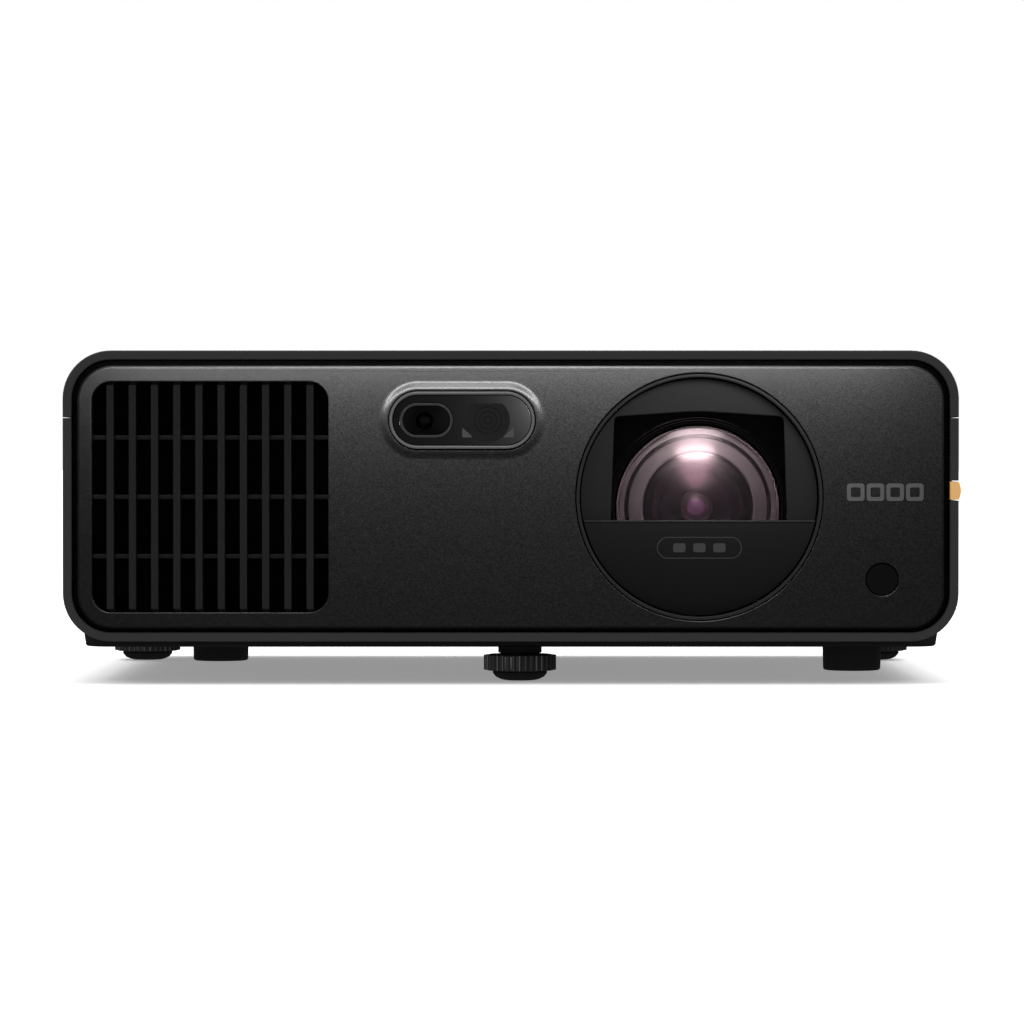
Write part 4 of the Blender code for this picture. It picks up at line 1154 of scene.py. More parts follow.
# The light seal behind the shroud is near-black: painted shade.
seal_walls = [(LENS.y - 0.0013, 0), (LENS.y - 0.0008, 0)]
seal_rim = rounded(0.0916, 0.0916, 0.0458, *RING, 32)
seal_hole = rounded(0.0686, 0.0686, 0.0343, LENS.x, LENS.z, 32)
seal = as_object(
    "lens_light_seal",
    [moulding([(seal_rim, seal_walls), (seal_hole, seal_walls)], seen_front)],
    PAINTED_SHADE_BLACK,
)
settle(seal, "chassis", "satin_black_abs")


COVER_RADIUS = 0.0441


def lean_back(drop):
    """How far the cover's face stands back, this far below its upper edge: 4.3 mm at its foot."""
    return 0.0043 * (drop / 0.035) ** 2


def bowed_sill():
    """The lower cover: the foot of a disc, whose face leans back more and more on its way down."""
    shell = bmesh.new()
    columns, rows, radius, thick = 48, 24, COVER_RADIUS, 0.0026
    grids = []
    for back in (0, thick):
        grid = []
        for row in range(rows + 1):
            drop = (SILL_Z - RING[1] + radius) * row / rows
            z = SILL_Z - drop
            half = math.sqrt(max(radius**2 - (z - RING[1]) ** 2, 1e-10))
            lean = lean_back(drop)
            line = []
            for column in range(columns + 1):
                u = RING[0] + half * (2 * column / columns - 1)
                line.append(shell.verts.new((u, sill_low.y + 0.0006 + lean + back, z)))
            grid.append(line)
        grids.append(grid)
    front, rear = grids
    for row in range(rows):
        for column in range(columns):
            for grid in grids:
                shell.faces.new(
                    (
                        grid[row][column],
                        grid[row][column + 1],
                        grid[row + 1][column + 1],
                        grid[row + 1][column],
                    )
                )
    outline = [(0, c) for c in range(columns)] + [(r, columns) for r in range(rows)]
    outline += [(rows, c) for c in range(columns, 0, -1)] + [(r, 0) for r in range(rows, 0, -1)]
    for here, there in zip(outline, outline[1:] + outline[:1]):
        shell.faces.new(
            (
                front[here[0]][here[1]],
                front[there[0]][there[1]],
                rear[there[0]][there[1]],
                rear[here[0]][here[1]],
            )
        )
    bmesh.ops.remove_doubles(shell, verts=shell.verts, dist=2e-5)
    bmesh.ops.recalc_face_normals(shell, faces=shell.faces)
    return shell


# The same satin in a blacker grade: painted shade on the lower cover, which also darkens towards
# its foot as its face leans back from the light.
COVER_PAINTED_SHADE_ABS = moulded_plastic("satin_cover_abs", "#131314", "#18181a", 0.45, 0.25, 0.004)
sill = as_object("lens_lower_cover", [bowed_sill()], COVER_PAINTED_SHADE_ABS)
settle(sill, "chassis", "satin_black_abs", "lens_sill")
lip_outline = filleted(
    [
        (sill_low.y + 0.0002, SILL_Z - 0.0008, 0.0003),
        (sill_low.y + 0.0002, SILL_Z, 0.00025),
        (shroud_high.y, SILL_Z, 0),
        (shroud_high.y, SILL_Z - 0.0008, 0),
    ],
    3,
)
lip_half = math.sqrt(COVER_RADIUS**2 - (SILL_Z - RING[1]) ** 2) - 0.0001
lip = moulding([(lip_outline, [(RING[0] - lip_half, 0), (RING[0] + lip_half, 0)])], seen_right)
# The lip takes the shroud's painted shade.
settle(as_object("lens_cover_lip", [lip], SHROUD_PAINTED_SHADE_ABS), "chassis", "satin_black_abs")
PILL = (RING[0], 0.05105)
pill_walls = [(sill_low.y + 0.00056, 0), (sill_low.y + 0.0014, 0)]


def seen_on_cover(u, v, depth):
    """A point of an outline drawn from the front, carried back on to the cover's leaning face."""
    return u, depth + lean_back(SILL_Z - v), v


pill_shells = [
    moulding(
        [
            (rounded(0.0317, 0.0081, 0.004, *PILL, 16), pill_walls),
            (rounded(0.0311, 0.0075, 0.0037, *PILL, 16), pill_walls),
        ],
        seen_on_cover,
    )
]
for offset in (-0.0075, 0.0, 0.0075):
    dot = rounded(0.0046, 0.0034, 0.0008, PILL[0] + offset, PILL[1], 5)
    pill_shells.append(moulding([(dot, pill_walls)], seen_on_cover))
# Thin grey ink that barely stands out from the cover.
DARK_INK = moulded_plastic("printed_dark_ink", "#505050", "#585858", 0.5, 0.3, 0.002)
settle(as_object("cover_pill_print", pill_shells, DARK_INK), "chassis", "badge_grey")

# ---- Lens -----------------------------------------------------------------------------------
# A wide front glass with a rose-coloured coating sits in a black anodised barrel. Bright turned
# steps show round the second glass, and a dark funnel leads in to a small glass deep inside.


def anodised(name, dark, light, roughness, metallic=0.6):
    """Black anodised aluminium, turned: fine rings run round the lens, 0.3 mm apart."""
    material, tree, shader, place = new_finish(name, Metallic=metallic)
    centred = add_node(
        tree, "ShaderNodeMapping", {"Vector": place, "Location": tuple(-c for c in LENS)}
    )
    rings = add_node(
        tree,
        "ShaderNodeTexWave",
        {"Vector": centred.outputs["Vector"], "Scale": 1000 / 0.3 / 6.283, "Distortion": 0.0},
        wave_type="RINGS",
        rings_direction="Y",
    )
    stops = [(0.0, dark), (1.0, light)]
    colour = add_node(tree, "ShaderNodeValToRGB", {"Fac": rings.outputs["Fac"]}, stops)
    tree.links.new(colour.outputs["Color"], shader.inputs["Base Color"])
    rough = add_node(
        tree,
        "ShaderNodeMapRange",
        {"Value": rings.outputs["Fac"], "To Min": roughness - 0.05, "To Max": roughness + 0.05},
    )
    tree.links.new(rough.outputs["Result"], shader.inputs["Roughness"])
    return material


# Nearly black, with fine turning rings that break up the light.
DARK_ANODISED = anodised("black_anodised_barrel", "#101010", "#181818", 0.4)
# Grey. On the steps this is painted light, standing for the light they catch through the glass, so
# that they read as bright rings; the deep collar is machined and left grey.
GREY_ANODISED_AND_PAINTED_LIGHT = anodised("grey_anodised_steps", "#6c6c6c", "#7a7a7a", 0.42, 0.2)


def coated_glass(name, body, coat, haze):
    """Optical glass: clear, with its sharp reflection nearly removed and tinted by its coating.
    haze blurs the rest, which gives the soft glow."""
    material, tree, shader, place = new_finish(
        name,
        IOR=1.52,
        Transmission_Weight=1.0,
        Specular_Tint=linear(coat),
        Coat_Weight=1.0,
        Coat_Roughness=haze,
        Coat_IOR=1.5,
    )
    clean = add_node(tree, "ShaderNodeTexNoise", {"Vector": place, "Scale": 140.0, "Detail": 2.0})
    stops = [(0.0, body), (1.0, "#ffffff")]
    tint = add_node(tree, "ShaderNodeValToRGB", {"Fac": clean.outputs["Fac"]}, stops)
    tree.links.new(tint.outputs["Color"], shader.inputs["Base Color"])
    rough = add_node(
        tree, "ShaderNodeMapRange", {"Value": clean.outputs["Fac"], "To Min": 0.0, "To Max": 0.02}
    )
    tree.links.new(rough.outputs["Result"], shader.inputs["Roughness"])
    return material


# Rose: a soft pink glow lies over the glass.
FRONT_GLASS = coated_glass("rose_coated_glass", "#f4eef0", "#5c2f36", 0.17)
# Violet, and dimmer than the front glass.
SECOND_GLASS = coated_glass("violet_coated_glass", "#b8aab2", "#7a5580", 0.20)


def dome(rim, sag, base, steps=24):
    """Points from the middle of a domed face out to its rim."""
    curve = (rim**2 + sag**2) / (2 * sag)
    points = []
    for step in range(steps + 1):
        radius = rim * step / steps
        points.append((radius, base + math.sqrt(curve**2 - radius**2) - (curve - sag)))
    return points


barrel_profile = [
    (0.0322, 0.0012), (0.0322, -0.0010), (0.0326, -0.0010), (0.0326, 0.0000), (0.0330, 0.0000),
    (0.0330, -0.0014), (0.0335, -0.0014), (0.0335, -0.0006), (0.0339, -0.0006), (0.0339, -0.012),
    (0.0262, -0.026), (0.0262, -0.060), (0.0340, -0.060), (0.0340, -0.066), (0.0196, -0.066),
    (0.0196, -0.022), (0.0313, -0.012), (0.0313, 0.0006), (0.0317, 0.0012), (0.0322, 0.0012),
]
barrel = as_object(
    "lens_barrel_tube", [lathed(soften(barrel_profile, 0.0003)[:-1], LENS, DEEP, 96)], DARK_ANODISED
)
settle(barrel, "chassis", "satin_black_abs", "lens_barrel")
retainer = [
    (0.0307, 0.0004), (0.0307, 0.0010), (0.0309, 0.0012), (0.0311, 0.0010), (0.0311, 0.0004)
]
retaining_ring = as_object(
    "lens_retaining_ring", [lathed(retainer, LENS, DEEP, 128)], DARK_ANODISED
)
settle(retaining_ring, "chassis", "aluminium")
front_face, back_face = dome(0.0306, 0.0098, 0.0006), dome(0.0294, 0.0078, -0.0012)
front_glass = as_object(
    "front_glass", [lathed(front_face + back_face[::-1], LENS, DEEP, 96)], FRONT_GLASS
)
front_glass.visible_shadow = False
settle(front_glass, "chassis", "coated_glass", "front_lens")
steps_profile = [
    (0.0306, -0.0012), (0.0306, -0.0100), (0.0212, -0.0100), (0.0204, -0.0030), (0.0204, 0.0022),
    (0.0211, 0.0022), (0.0256, -0.0004), (0.0256, -0.0040), (0.0271, -0.0040), (0.0271, -0.0006),
    (0.0294, -0.0024), (0.0298, -0.0024), (0.0302, -0.0016), (0.0306, -0.0012),
]
# The steps are painted grey: painted light.
steps_piece = as_object(
    "lens_step_rings", [lathed(soften(steps_profile, 0.0002)[:-1], LENS, DEEP, 96)], GREY_ANODISED_AND_PAINTED_LIGHT
)
settle(steps_piece, "chassis", "satin_black_abs", "lens_baffle")
# A near-black ring lies in the groove between the steps: painted shade.
groove = [(0.0257, -0.0013), (0.0270, -0.0013), (0.0270, -0.0018), (0.0257, -0.0018)]
groove_ring = as_object("lens_groove_ring", [lathed(groove, LENS, DEEP, 96)], PAINTED_SHADE_BLACK)
settle(groove_ring, "chassis", "satin_black_abs")
second_face, second_back = dome(0.0202, 0.0045, 0.0004), dome(0.0196, 0.0040, -0.0006)
second = as_object(
    "second_glass", [lathed(second_face + second_back[::-1], LENS, DEEP, 96)], SECOND_GLASS
)
second.visible_shadow = False
settle(second, "chassis", "coated_glass", "inner_lens")
funnel_profile = [
    (0.0202, -0.0012), (0.0166, -0.0060), (0.0160, -0.0060), (0.0158, -0.0066), (0.0130, -0.0100),
    (0.0124, -0.0100), (0.0122, -0.0106), (0.0062, -0.0170), (0.0060, -0.0176), (0.0070, -0.0180),
    (0.0150, -0.0120), (0.0206, -0.0030), (0.0206, -0.0012),
]
inner_funnel = as_object("lens_inner_funnel", [lathed(funnel_profile, LENS, DEEP, 96)], LENS_BLACK)
settle(inner_funnel, "chassis", "satin_black_abs")
deep_face = dome(0.0049, 0.0016, -0.0176, 10)
deep_back = [(0.0049, -0.0190), (0, -0.0190)]
# A dark, wine-coloured glint deep inside, painted into the colour of an opaque disc: a painted
# reflection.
PLUM_PAINTED_GLINT = polished("plum_tinted_glass", "#3c3038", 0.10, "#4a3c46")
deep_lens = as_object("deep_glass", [lathed([*deep_face, *deep_back], LENS, DEEP, 64)], PLUM_PAINTED_GLINT)
settle(deep_lens, "chassis", "coated_glass")
# Its middle is paler and more violet: a painted highlight.
VIOLET_PAINTED_HIGHLIGHT = polished("violet_tinted_glass", "#6d5072", 0.10, "#7c5f80")
core_face = dome(0.0030, 0.0007, -0.0165, 8)
core_lens = as_object(
    "deep_glass_core",
    [lathed([*core_face, (0.0030, -0.0172), (0, -0.0172)], LENS, DEEP, 64)],
    VIOLET_PAINTED_HIGHLIGHT,
)
settle(core_lens, "chassis", "coated_glass")
collar = [
    (0.0050, -0.0178), (0.0050, -0.0171), (0.0052, -0.0169), (0.0055, -0.0171), (0.0055, -0.0178)
]
deep_collar = as_object("deep_glass_collar", [lathed(collar, LENS, DEEP, 64)], GREY_ANODISED_AND_PAINTED_LIGHT)
settle(deep_collar, "chassis", "aluminium")

# ---- Focus drive and light engine -----------------------------------------------------------
# Behind the panel, a small motor turns a nylon ring gear that shifts the focus cell. The light
# engine is a die-cast block with finned coolers; a laser bank lights a spinning phosphor wheel.

# Dull and slightly rough, with broad grey highlights.
CAST = bare_metal("die_cast_aluminium", "#9a9b9c", 0.48, 1.0, 0.5)
# Rolled steel: grey, with faint drawn lines.
STEEL = bare_metal("rolled_steel", "#a7a8a9", 0.32, 0.6)
# Natural nylon: cream-coloured and waxy.
NYLON = moulded_plastic("natural_nylon", "#d8d5cb", "#e6e3da", 0.5, 0.3, 0.006)
# Nearly black and lightly grained, so that a fan hardly shows through its slats.
FAN_PBT = moulded_plastic("black_fan_plastic", "#151515", "#1f1f1f", 0.5, 0.4, 0.008)
# A green coating.
REAR_GLASS = coated_glass("green_coated_glass", "#eef4f0", "#9fd8b8", 0.2)
repaint(NYLON, "focus_gear", "focus_pinion")
repaint(STEEL, "focus_motor", "wheel_motor")
repaint(CAST, "optical_engine", "dmd_heatsink", "laser_bank", "laser_heatsink", "phosphor_wheel")
repaint(
    FAN_PBT, "focus_cell", "front_fan_frame", "front_fan_rotor", "side_fan_frame", "side_fan_rotor"
)
repaint(FAN_PBT, "speaker")
repaint(REAR_GLASS, "rear_lens")

# ---- Circuit boards -------------------------------------------------------------------------
# The boards are glass-epoxy laminate under green solder resist, through which copper tracks
# show as slightly lighter lines.

# Two greens, whose lighter lines are 3 mm apart.
RESIST, tree, shader, place = new_finish("green_solder_resist", Roughness=0.35, IOR=1.55)
cells = add_node(
    tree, "ShaderNodeTexVoronoi", {"Vector": place, "Scale": 1000 / 3.0}, distance="MANHATTAN"
)
stops = [(0.0, "#0c3a22"), (1.0, "#1c5a36")]
tracks = add_node(tree, "ShaderNodeValToRGB", {"Fac": cells.outputs["Distance"]}, stops)
tree.links.new(tracks.outputs["Color"], shader.inputs["Base Color"])
repaint(RESIST, "main_board", "power_supply", "keypad_board")

# ---- Side grilles ---------------------------------------------------------------------------
# Each side vent is a separate moulding let into its wall: a rounded frame with a row of level
# slats, through which the fan shows on the right and the speaker on the left.

for name, low, high, slats in (
    ("right_grille", right_low, right_high, 10), ("left_grille", left_low, left_high, 8)
):
    width, height = high.y - low.y, high.z - low.z
    u, v = (low.y + high.y) / 2, (low.z + high.z) / 2
    outside, inside = (high.x, low.x) if high.x > 0 else (low.x, high.x)
    inward = -math.copysign(1, outside)
    frame_walls = edge(outside, inward, 0.0004) + [(inside, 0)]
    rim = moulding(
        [
            (rounded(width, height, 0.0037, u, v, 6), frame_walls),
            (rounded(width - 0.006, height - 0.006, 0.001, u, v, 3), frame_walls),
        ],
        seen_right,
    )
    settle(as_object(name + "_rim", [rim], GRILLE_ABS), "chassis", "case_black_abs", name)
    pitch = (height - 0.006) / (slats + 0.5)
    slat_x = (outside + inside) / 2 - inward * 0.0002
    first = v - (slats - 1) / 2 * pitch - pitch / 2
    row = bar_row(
        name + "_slats",
        (slat_x, low.y + 0.0025, first),
        (slat_x, high.y - 0.0025, first),
        (0, 0, pitch),
        slats + 1,
        0.0020,
        pitch * 0.5,
        0.0003,
        GRILLE_ABS,
    )
    settle(row, "chassis", "case_black_abs")

# ---- Rear panel and sockets -----------------------------------------------------------------
# A flat moulded panel closes the rear. The sockets are folded steel shells round plastic
# tongues, and the mains inlet is a glass-filled nylon body with three flat pins.

rear_low, rear_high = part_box("rear_panel")
SOCKETS = ("hdmi_port_1", "hdmi_port_2", "usb_port", "serial_port", "audio_jack", "power_inlet")
rear_walls = [
    (
        rounded(
            rear_high.x - rear_low.x,
            rear_high.z - rear_low.z,
            0.0142,
            MIDDLE,
            (rear_low.z + rear_high.z) / 2,
            14,
        ),
        edge(rear_high.y, -1, 0.0005) + [(rear_low.y, 0)],
    )
]
for name in SOCKETS:
    low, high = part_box(name)
    radius = 0.02 if name == "audio_jack" else 0.0008
    hole = rounded(
        high.x - low.x + 0.0006,
        high.z - low.z + 0.0006,
        radius,
        (low.x + high.x) / 2,
        (low.z + high.z) / 2,
    )
    rear_walls.append((hole, edge(rear_high.y, -1, 0.0003) + [(rear_low.y, 0)]))
rear = as_object("rear_panel_plate", [moulding(rear_walls, seen_front)], CASE_ABS)
settle(rear, "chassis", "case_black_abs", "rear_panel")
# A flange behind it closes the gap to the casing. It is near-black: painted shade in that gap.
rear_width, rear_height = rear_high.x - rear_low.x, rear_high.z - rear_low.z
rear_z = (rear_low.z + rear_high.z) / 2
rear_flange_walls = [(rear_low.y, 0), (rear_low.y - 0.0015, 0)]
rear_flange = moulding(
    [
        (
            rounded(rear_width + 0.0012, rear_height + 0.0012, 0.0148, MIDDLE, rear_z, 14),
            rear_flange_walls,
        ),
        (
            rounded(rear_width - 0.012, rear_height - 0.012, 0.0082, MIDDLE, rear_z, 14),
            rear_flange_walls,
        ),
    ],
    seen_front,
)
settle(as_object("rear_panel_flange", [rear_flange], PAINTED_SHADE_BLACK), "chassis", "satin_black_abs")

# Yellow and bright: small glints in the sockets.
GOLD = bare_metal("gold_plated_contacts", "#c9a24a", 0.25, 0.2)
# Glass fibres in the nylon leave it coarser and duller than the case.
INLET_NYLON = moulded_plastic("glass_filled_nylon", "#161616", "#1e1e1e", 0.5, 0.5, 0.01)


def folded_shell(name, cut):
    """A steel shell whose two lower corners are cut off by this much, with a closed back."""
    low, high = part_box(name)
    outline = filleted(
        [
            (high.x, high.z, 0.0005), (low.x, high.z, 0.0005), (low.x, low.z + cut, 0.0005),
            (low.x + cut, low.z, 0.0005), (high.x - cut, low.z, 0.0005),
            (high.x, low.z + cut, 0.0005),
        ],
        4,
    )
    inner = inset(outline, 0.0004)
    walls = [(high.y, 0.0001), (high.y - 0.0001, 0), (low.y, 0)]
    tube = moulding([(outline, walls), (inner, walls)], seen_front)
    back = moulding(
        [(inset(outline, 0.0002), [(low.y + 0.0001, 0), (low.y + 0.0012, 0)])], seen_front
    )
    return [tube, back], low, high


for name, cut in (
    ("hdmi_port_1", 0.0017), ("hdmi_port_2", 0.0017), ("usb_port", 0.0006), ("serial_port", 0.0016)
):
    shells, low, high = folded_shell(name, cut)
    settle(as_object(name + "_shell", shells, STEEL), "chassis", "steel", name)
    u, v = (low.x + high.x) / 2, (low.z + high.z) / 2
    width = high.x - low.x
    tongue_half = 0.0029 if name == "serial_port" else 0.0008
    tongue = rounded(width * 0.74, tongue_half * 2, 0.0004, u, v + 0.0002, 3)
    walls = edge(high.y - 0.0016, -1, 0.0002) + [(low.y + 0.0010, 0)]
    settle(
        as_object(name + "_tongue", [moulding([(tongue, walls)], seen_front)], INLET_NYLON),
        "chassis",
        "fan_black",
    )
    if name != "serial_port":
        count = 9 if "hdmi" in name else 4
        pitch = width * 0.62 / (count - 1)
        contact_z = v + 0.0002 + tongue_half
        contacts = bar_row(
            name + "_contacts",
            (u - width * 0.31, high.y - 0.0020, contact_z),
            (u - width * 0.31, low.y + 0.0020, contact_z),
            (pitch, 0, 0),
            count,
            pitch * 0.5,
            0.00012,
            0.00002,
            GOLD,
        )
        settle(contacts, "chassis", "steel")
    else:
        for row, (count, lift) in enumerate(((5, 0.0012), (4, -0.0014))):
            pins = bar_row(
                f"serial_pins_{row}",
                (u - 0.00135 * (count - 1), high.y - 0.0008, v + 0.0002 + lift),
                (u - 0.00135 * (count - 1), high.y - 0.0030, v + 0.0002 + lift),
                (0.0027, 0, 0),
                count,
                0.0009,
                0.0009,
                0.0003,
                GOLD,
            )
            settle(pins, "chassis", "steel")
jack_low, jack_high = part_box("audio_jack")
jack_at = ((jack_low.x + jack_high.x) / 2, jack_high.y, (jack_low.z + jack_high.z) / 2)
jack_profile = [
    (0, -0.010), (0.0018, -0.010), (0.0018, -0.0003), (0.0021, 0), (0.0037, 0), (0.0040, -0.0003)
]
jack_profile += [(0.0040, -0.012), (0, -0.012)]
jack = as_object("audio_jack_barrel", [lathed(jack_profile, jack_at, (0, 1, 0), 40)], INLET_NYLON)
settle(jack, "chassis", "fan_black", "audio_jack")
collar = [(0.0026, 0.0001), (0.0026, -0.002), (0.00175, -0.002), (0.00175, 0.0001)]
settle(
    as_object("audio_jack_collar", [lathed(collar, jack_at, (0, 1, 0), 40)], GOLD),
    "chassis",
    "steel",
)
inlet_low, inlet_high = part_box("power_inlet")
inlet_at = ((inlet_low.x + inlet_high.x) / 2, (inlet_low.z + inlet_high.z) / 2)
inlet_outline = rounded(inlet_high.x - inlet_low.x, inlet_high.z - inlet_low.z, 0.001, *inlet_at, 4)
u, v = inlet_at
recess = filleted(
    [
        (u + 0.0120, v + 0.0040, 0.0008), (u + 0.0080, v + 0.0080, 0.0008),
        (u - 0.0080, v + 0.0080, 0.0008), (u - 0.0120, v + 0.0040, 0.0008),
        (u - 0.0120, v - 0.0080, 0.0008), (u + 0.0120, v - 0.0080, 0.0008),
    ],
    4,
)
mouth_walls = edge(inlet_high.y, -1, 0.0004) + [(inlet_high.y - 0.0165, 0)]
body_shell = moulding([(inlet_outline, mouth_walls), (recess, mouth_walls)], seen_front)
inlet_back = moulding(
    [(inlet_outline, [(inlet_high.y - 0.0163, 0.0001), (inlet_low.y, 0.0001)])], seen_front
)
inlet = as_object("power_inlet_body", [body_shell, inlet_back], INLET_NYLON)
settle(inlet, "chassis", "fan_black", "power_inlet")
pins = []
for offset, lift in ((-0.007, -0.002), (0, 0.002), (0.007, -0.002)):
    blade = rounded(0.0020, 0.0040, 0.0004, u + offset, v + lift, 3)
    tip = inlet_high.y - 0.0055
    pins.append(
        moulding([(blade, edge(tip, -1, 0.0004) + [(inlet_high.y - 0.0164, 0)])], seen_front)
    )
settle(as_object("power_inlet_pins", pins, STEEL), "chassis", "steel")

# ---- Feet -----------------------------------------------------------------------------------
# Each foot is a hand screw in black ABS with a ribbed knob, over a rubber sole that stays still
# as the knob turns.

# A slight gloss picks out the ribs.
KNOB_ABS = moulded_plastic("ribbed_knob_abs", "#242425", "#2e2e2f", 0.42, 0.3, 0.006)
# Matt black, with no highlight.
SOLE_RUBBER = moulded_plastic("moulded_rubber", "#121212", "#1a1a1a", 0.72, 0.5, 0.012)


def rib_tree():
    """Ribs round a knob: each a straight rounded bar from Bottom to Top at this Radius."""
    tree, sizes = geometry_tree(
        "knob_ribs",
        [
            ("Centre", "NodeSocketVector"), ("Bottom", "NodeSocketFloat"),
            ("Top", "NodeSocketFloat"), ("Radius", "NodeSocketFloat"),
            ("Rib radius", "NodeSocketFloat"), ("Count", "NodeSocketInt"),
            ("Material", "NodeSocketMaterial"),
        ],
    )
    low = add_node(tree, "ShaderNodeCombineXYZ", {"X": sizes["Radius"], "Z": sizes["Bottom"]})
    high = add_node(tree, "ShaderNodeCombineXYZ", {"X": sizes["Radius"], "Z": sizes["Top"]})
    path = add_node(
        tree, "GeometryNodeCurvePrimitiveLine", {"Start": low.outputs[0], "End": high.outputs[0]}
    )
    section = add_node(
        tree, "GeometryNodeCurvePrimitiveCircle", {"Resolution": 10, "Radius": sizes["Rib radius"]}
    )
    rib = add_node(
        tree,
        "GeometryNodeCurveToMesh",
        {
            "Curve": path.outputs["Curve"],
            "Profile Curve": section.outputs["Curve"],
            "Fill Caps": True,
        },
    )
    places = add_node(
        tree,
        "GeometryNodeMeshLine",
        {"Count": sizes["Count"], "Start Location": sizes["Centre"], "Offset": (0, 0, 0)},
        mode="OFFSET",
    )
    number = add_node(tree, "GeometryNodeInputIndex")
    share = add_node(
        tree, "ShaderNodeMath", {0: number.outputs[0], 1: sizes["Count"]}, operation="DIVIDE"
    )
    angle = add_node(
        tree, "ShaderNodeMath", {0: share.outputs[0], 1: 2 * math.pi}, operation="MULTIPLY"
    )
    spin = add_node(tree, "ShaderNodeCombineXYZ", {"Z": angle.outputs[0]})
    turn = add_node(tree, "FunctionNodeEulerToRotation", {"Euler": spin.outputs[0]})
    placed = add_node(
        tree,
        "GeometryNodeInstanceOnPoints",
        {
            "Points": places.outputs["Mesh"],
            "Instance": rib.outputs["Mesh"],
            "Rotation": turn.outputs["Rotation"],
        },
    )
    close_tree(tree, placed.outputs["Instances"], sizes["Material"])
    return tree


ribs = rib_tree()


def threaded_rod(centre, low_z, high_z, radius, pitch, depth, around=32, per_turn=8):
    """A right-handed thread, as a grid whose radius rises and falls along the helix."""
    shell = bmesh.new()
    rows = int((high_z - low_z) / pitch * per_turn)
    rings = []
    for row in range(rows + 1):
        z = low_z + (high_z - low_z) * row / rows
        ring = []
        for step in range(around):
            phase = (z / pitch - step / around) % 1
            crest = radius - depth * abs(2 * phase - 1)
            turn = 2 * math.pi * step / around
            ring.append(
                shell.verts.new(
                    (centre.x + crest * math.cos(turn), centre.y + crest * math.sin(turn), z)
                )
            )
        rings.append(ring)
    for first, second in zip(rings, rings[1:]):
        for i in range(around):
            j = (i + 1) % around
            shell.faces.new((first[i], first[j], second[j], second[i]))
    shell.faces.new(rings[0][::-1])
    shell.faces.new(rings[-1])
    bmesh.ops.recalc_face_normals(shell, faces=shell.faces)
    return shell


for name, at in foot_axis.items():
    low, high = FEET[name]
    knob_top = 0.0099
    knob_bottom = low.z
    core = [
        (0, knob_top), (0.0118, knob_top), (0.0131, knob_top - 0.0004),
        (0.0131, knob_bottom + 0.0004),
    ]
    core += [(0.0124, knob_bottom), (0, knob_bottom)]
    core_shell = lathed(soften(core, 0.0003), at, (0, 0, 1), 72)
    rod = threaded_rod(at, knob_top - 0.001, high.z, 0.0038, 0.0015, 0.0005)
    knob = as_object(name + "_knob_core", [core_shell, rod], KNOB_ABS)
    settle(knob, name + "_knob_body", "case_black_abs", name + "_knob")
    grip = grown_from(
        ribs,
        name + "_knob_ribs",
        {
            "Centre": at,
            "Bottom": knob_bottom + 0.0003,
            "Top": knob_top - 0.0003,
            "Radius": 0.0130,
            "Rib radius": 0.00078,
            "Count": 36,
            "Material": KNOB_ABS,
        },
    )
    settle(grip, name + "_knob_body", "case_black_abs")
    sole_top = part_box(name + "_sole")[1].z
    sole = [(0, sole_top), (0.0104, sole_top), (0.0103, 0.0026), (0.0092, 0.0013), (0.0074, 0.0004)]
    sole += [(0.0056, 0.0), (0, 0.0)]
    pad = as_object(
        name + "_sole_pad", [lathed(soften(sole, 0.0004), at, (0, 0, 1), 64)], SOLE_RUBBER
    )
    settle(pad, name + "_sole_body", "rubber", name + "_sole")

# ---- Studio ---------------------------------------------------------------------------------
# A white sweep under soft overhead light. A long strip above the front grazes the panel, and a
# round soft light is kept for the glass.

scene = bpy.context.scene
scene.view_settings.view_transform = "Standard"
camera_data = bpy.data.cameras.new("camera")
camera_data.lens = 158.4
camera_data.sensor_width = 36.0
camera_data.clip_end = 100.0
camera = bpy.data.objects.new("camera", camera_data)
camera.location = (0.00007, FRONT_Y - 1.700, 0.0846)
camera.rotation_euler = (math.radians(90 - 0.743), 0, 0)
scene.collection.objects.link(camera)
scene.camera = camera

floor_mesh = bpy.data.meshes.new("floor")
reach, floor_z = 30.0, -0.0002
floor_corners = [(x * reach, y * reach, floor_z) for x, y in ((-1, -1), (1, -1), (1, 1), (-1, 1))]
floor_mesh.from_pydata(floor_corners, [], [(0, 1, 2, 3)])
floor = bpy.data.objects.new("floor", floor_mesh)
scene.collection.objects.link(floor)
# Matt white paper: it shows no gloss, and glows a little, so that it stays an even white.
sweep = new_finish(
    "white_paper_sweep",
    Base_Color=(0.8, 0.8, 0.8, 1),
    Roughness=0.9,
    Specular_IOR_Level=0.0,
    Emission_Color=(1, 1, 1, 1),
    Emission_Strength=0.29,
)[0]
floor_mesh.materials.append(sweep)
floor.visible_diffuse = False
floor.visible_glossy = False
floor.visible_transmission = False

world = bpy.data.worlds.new("studio")
scene.world = world
world.use_nodes = True
tree = world.node_tree
ambient = tree.nodes["Background"]
ambient.inputs["Color"].default_value = (1, 1, 1, 1)
ambient.inputs["Strength"].default_value = 0.50
mirrored = add_node(tree, "ShaderNodeBackground", {"Color": (1, 1, 1, 1), "Strength": 0.05})
backdrop = add_node(tree, "ShaderNodeBackground", {"Color": (1, 1, 1, 1), "Strength": 1.0})
ray = add_node(tree, "ShaderNodeLightPath")
room = add_node(
    tree,
    "ShaderNodeMixShader",
    {0: ray.outputs["Is Glossy Ray"], 1: ambient.outputs[0], 2: mirrored.outputs[0]},
)
shown = add_node(
    tree,
    "ShaderNodeMixShader",
    {0: ray.outputs["Is Camera Ray"], 1: room.outputs[0], 2: backdrop.outputs[0]},
)
tree.links.new(shown.outputs[0], tree.nodes["World Output"].inputs["Surface"])


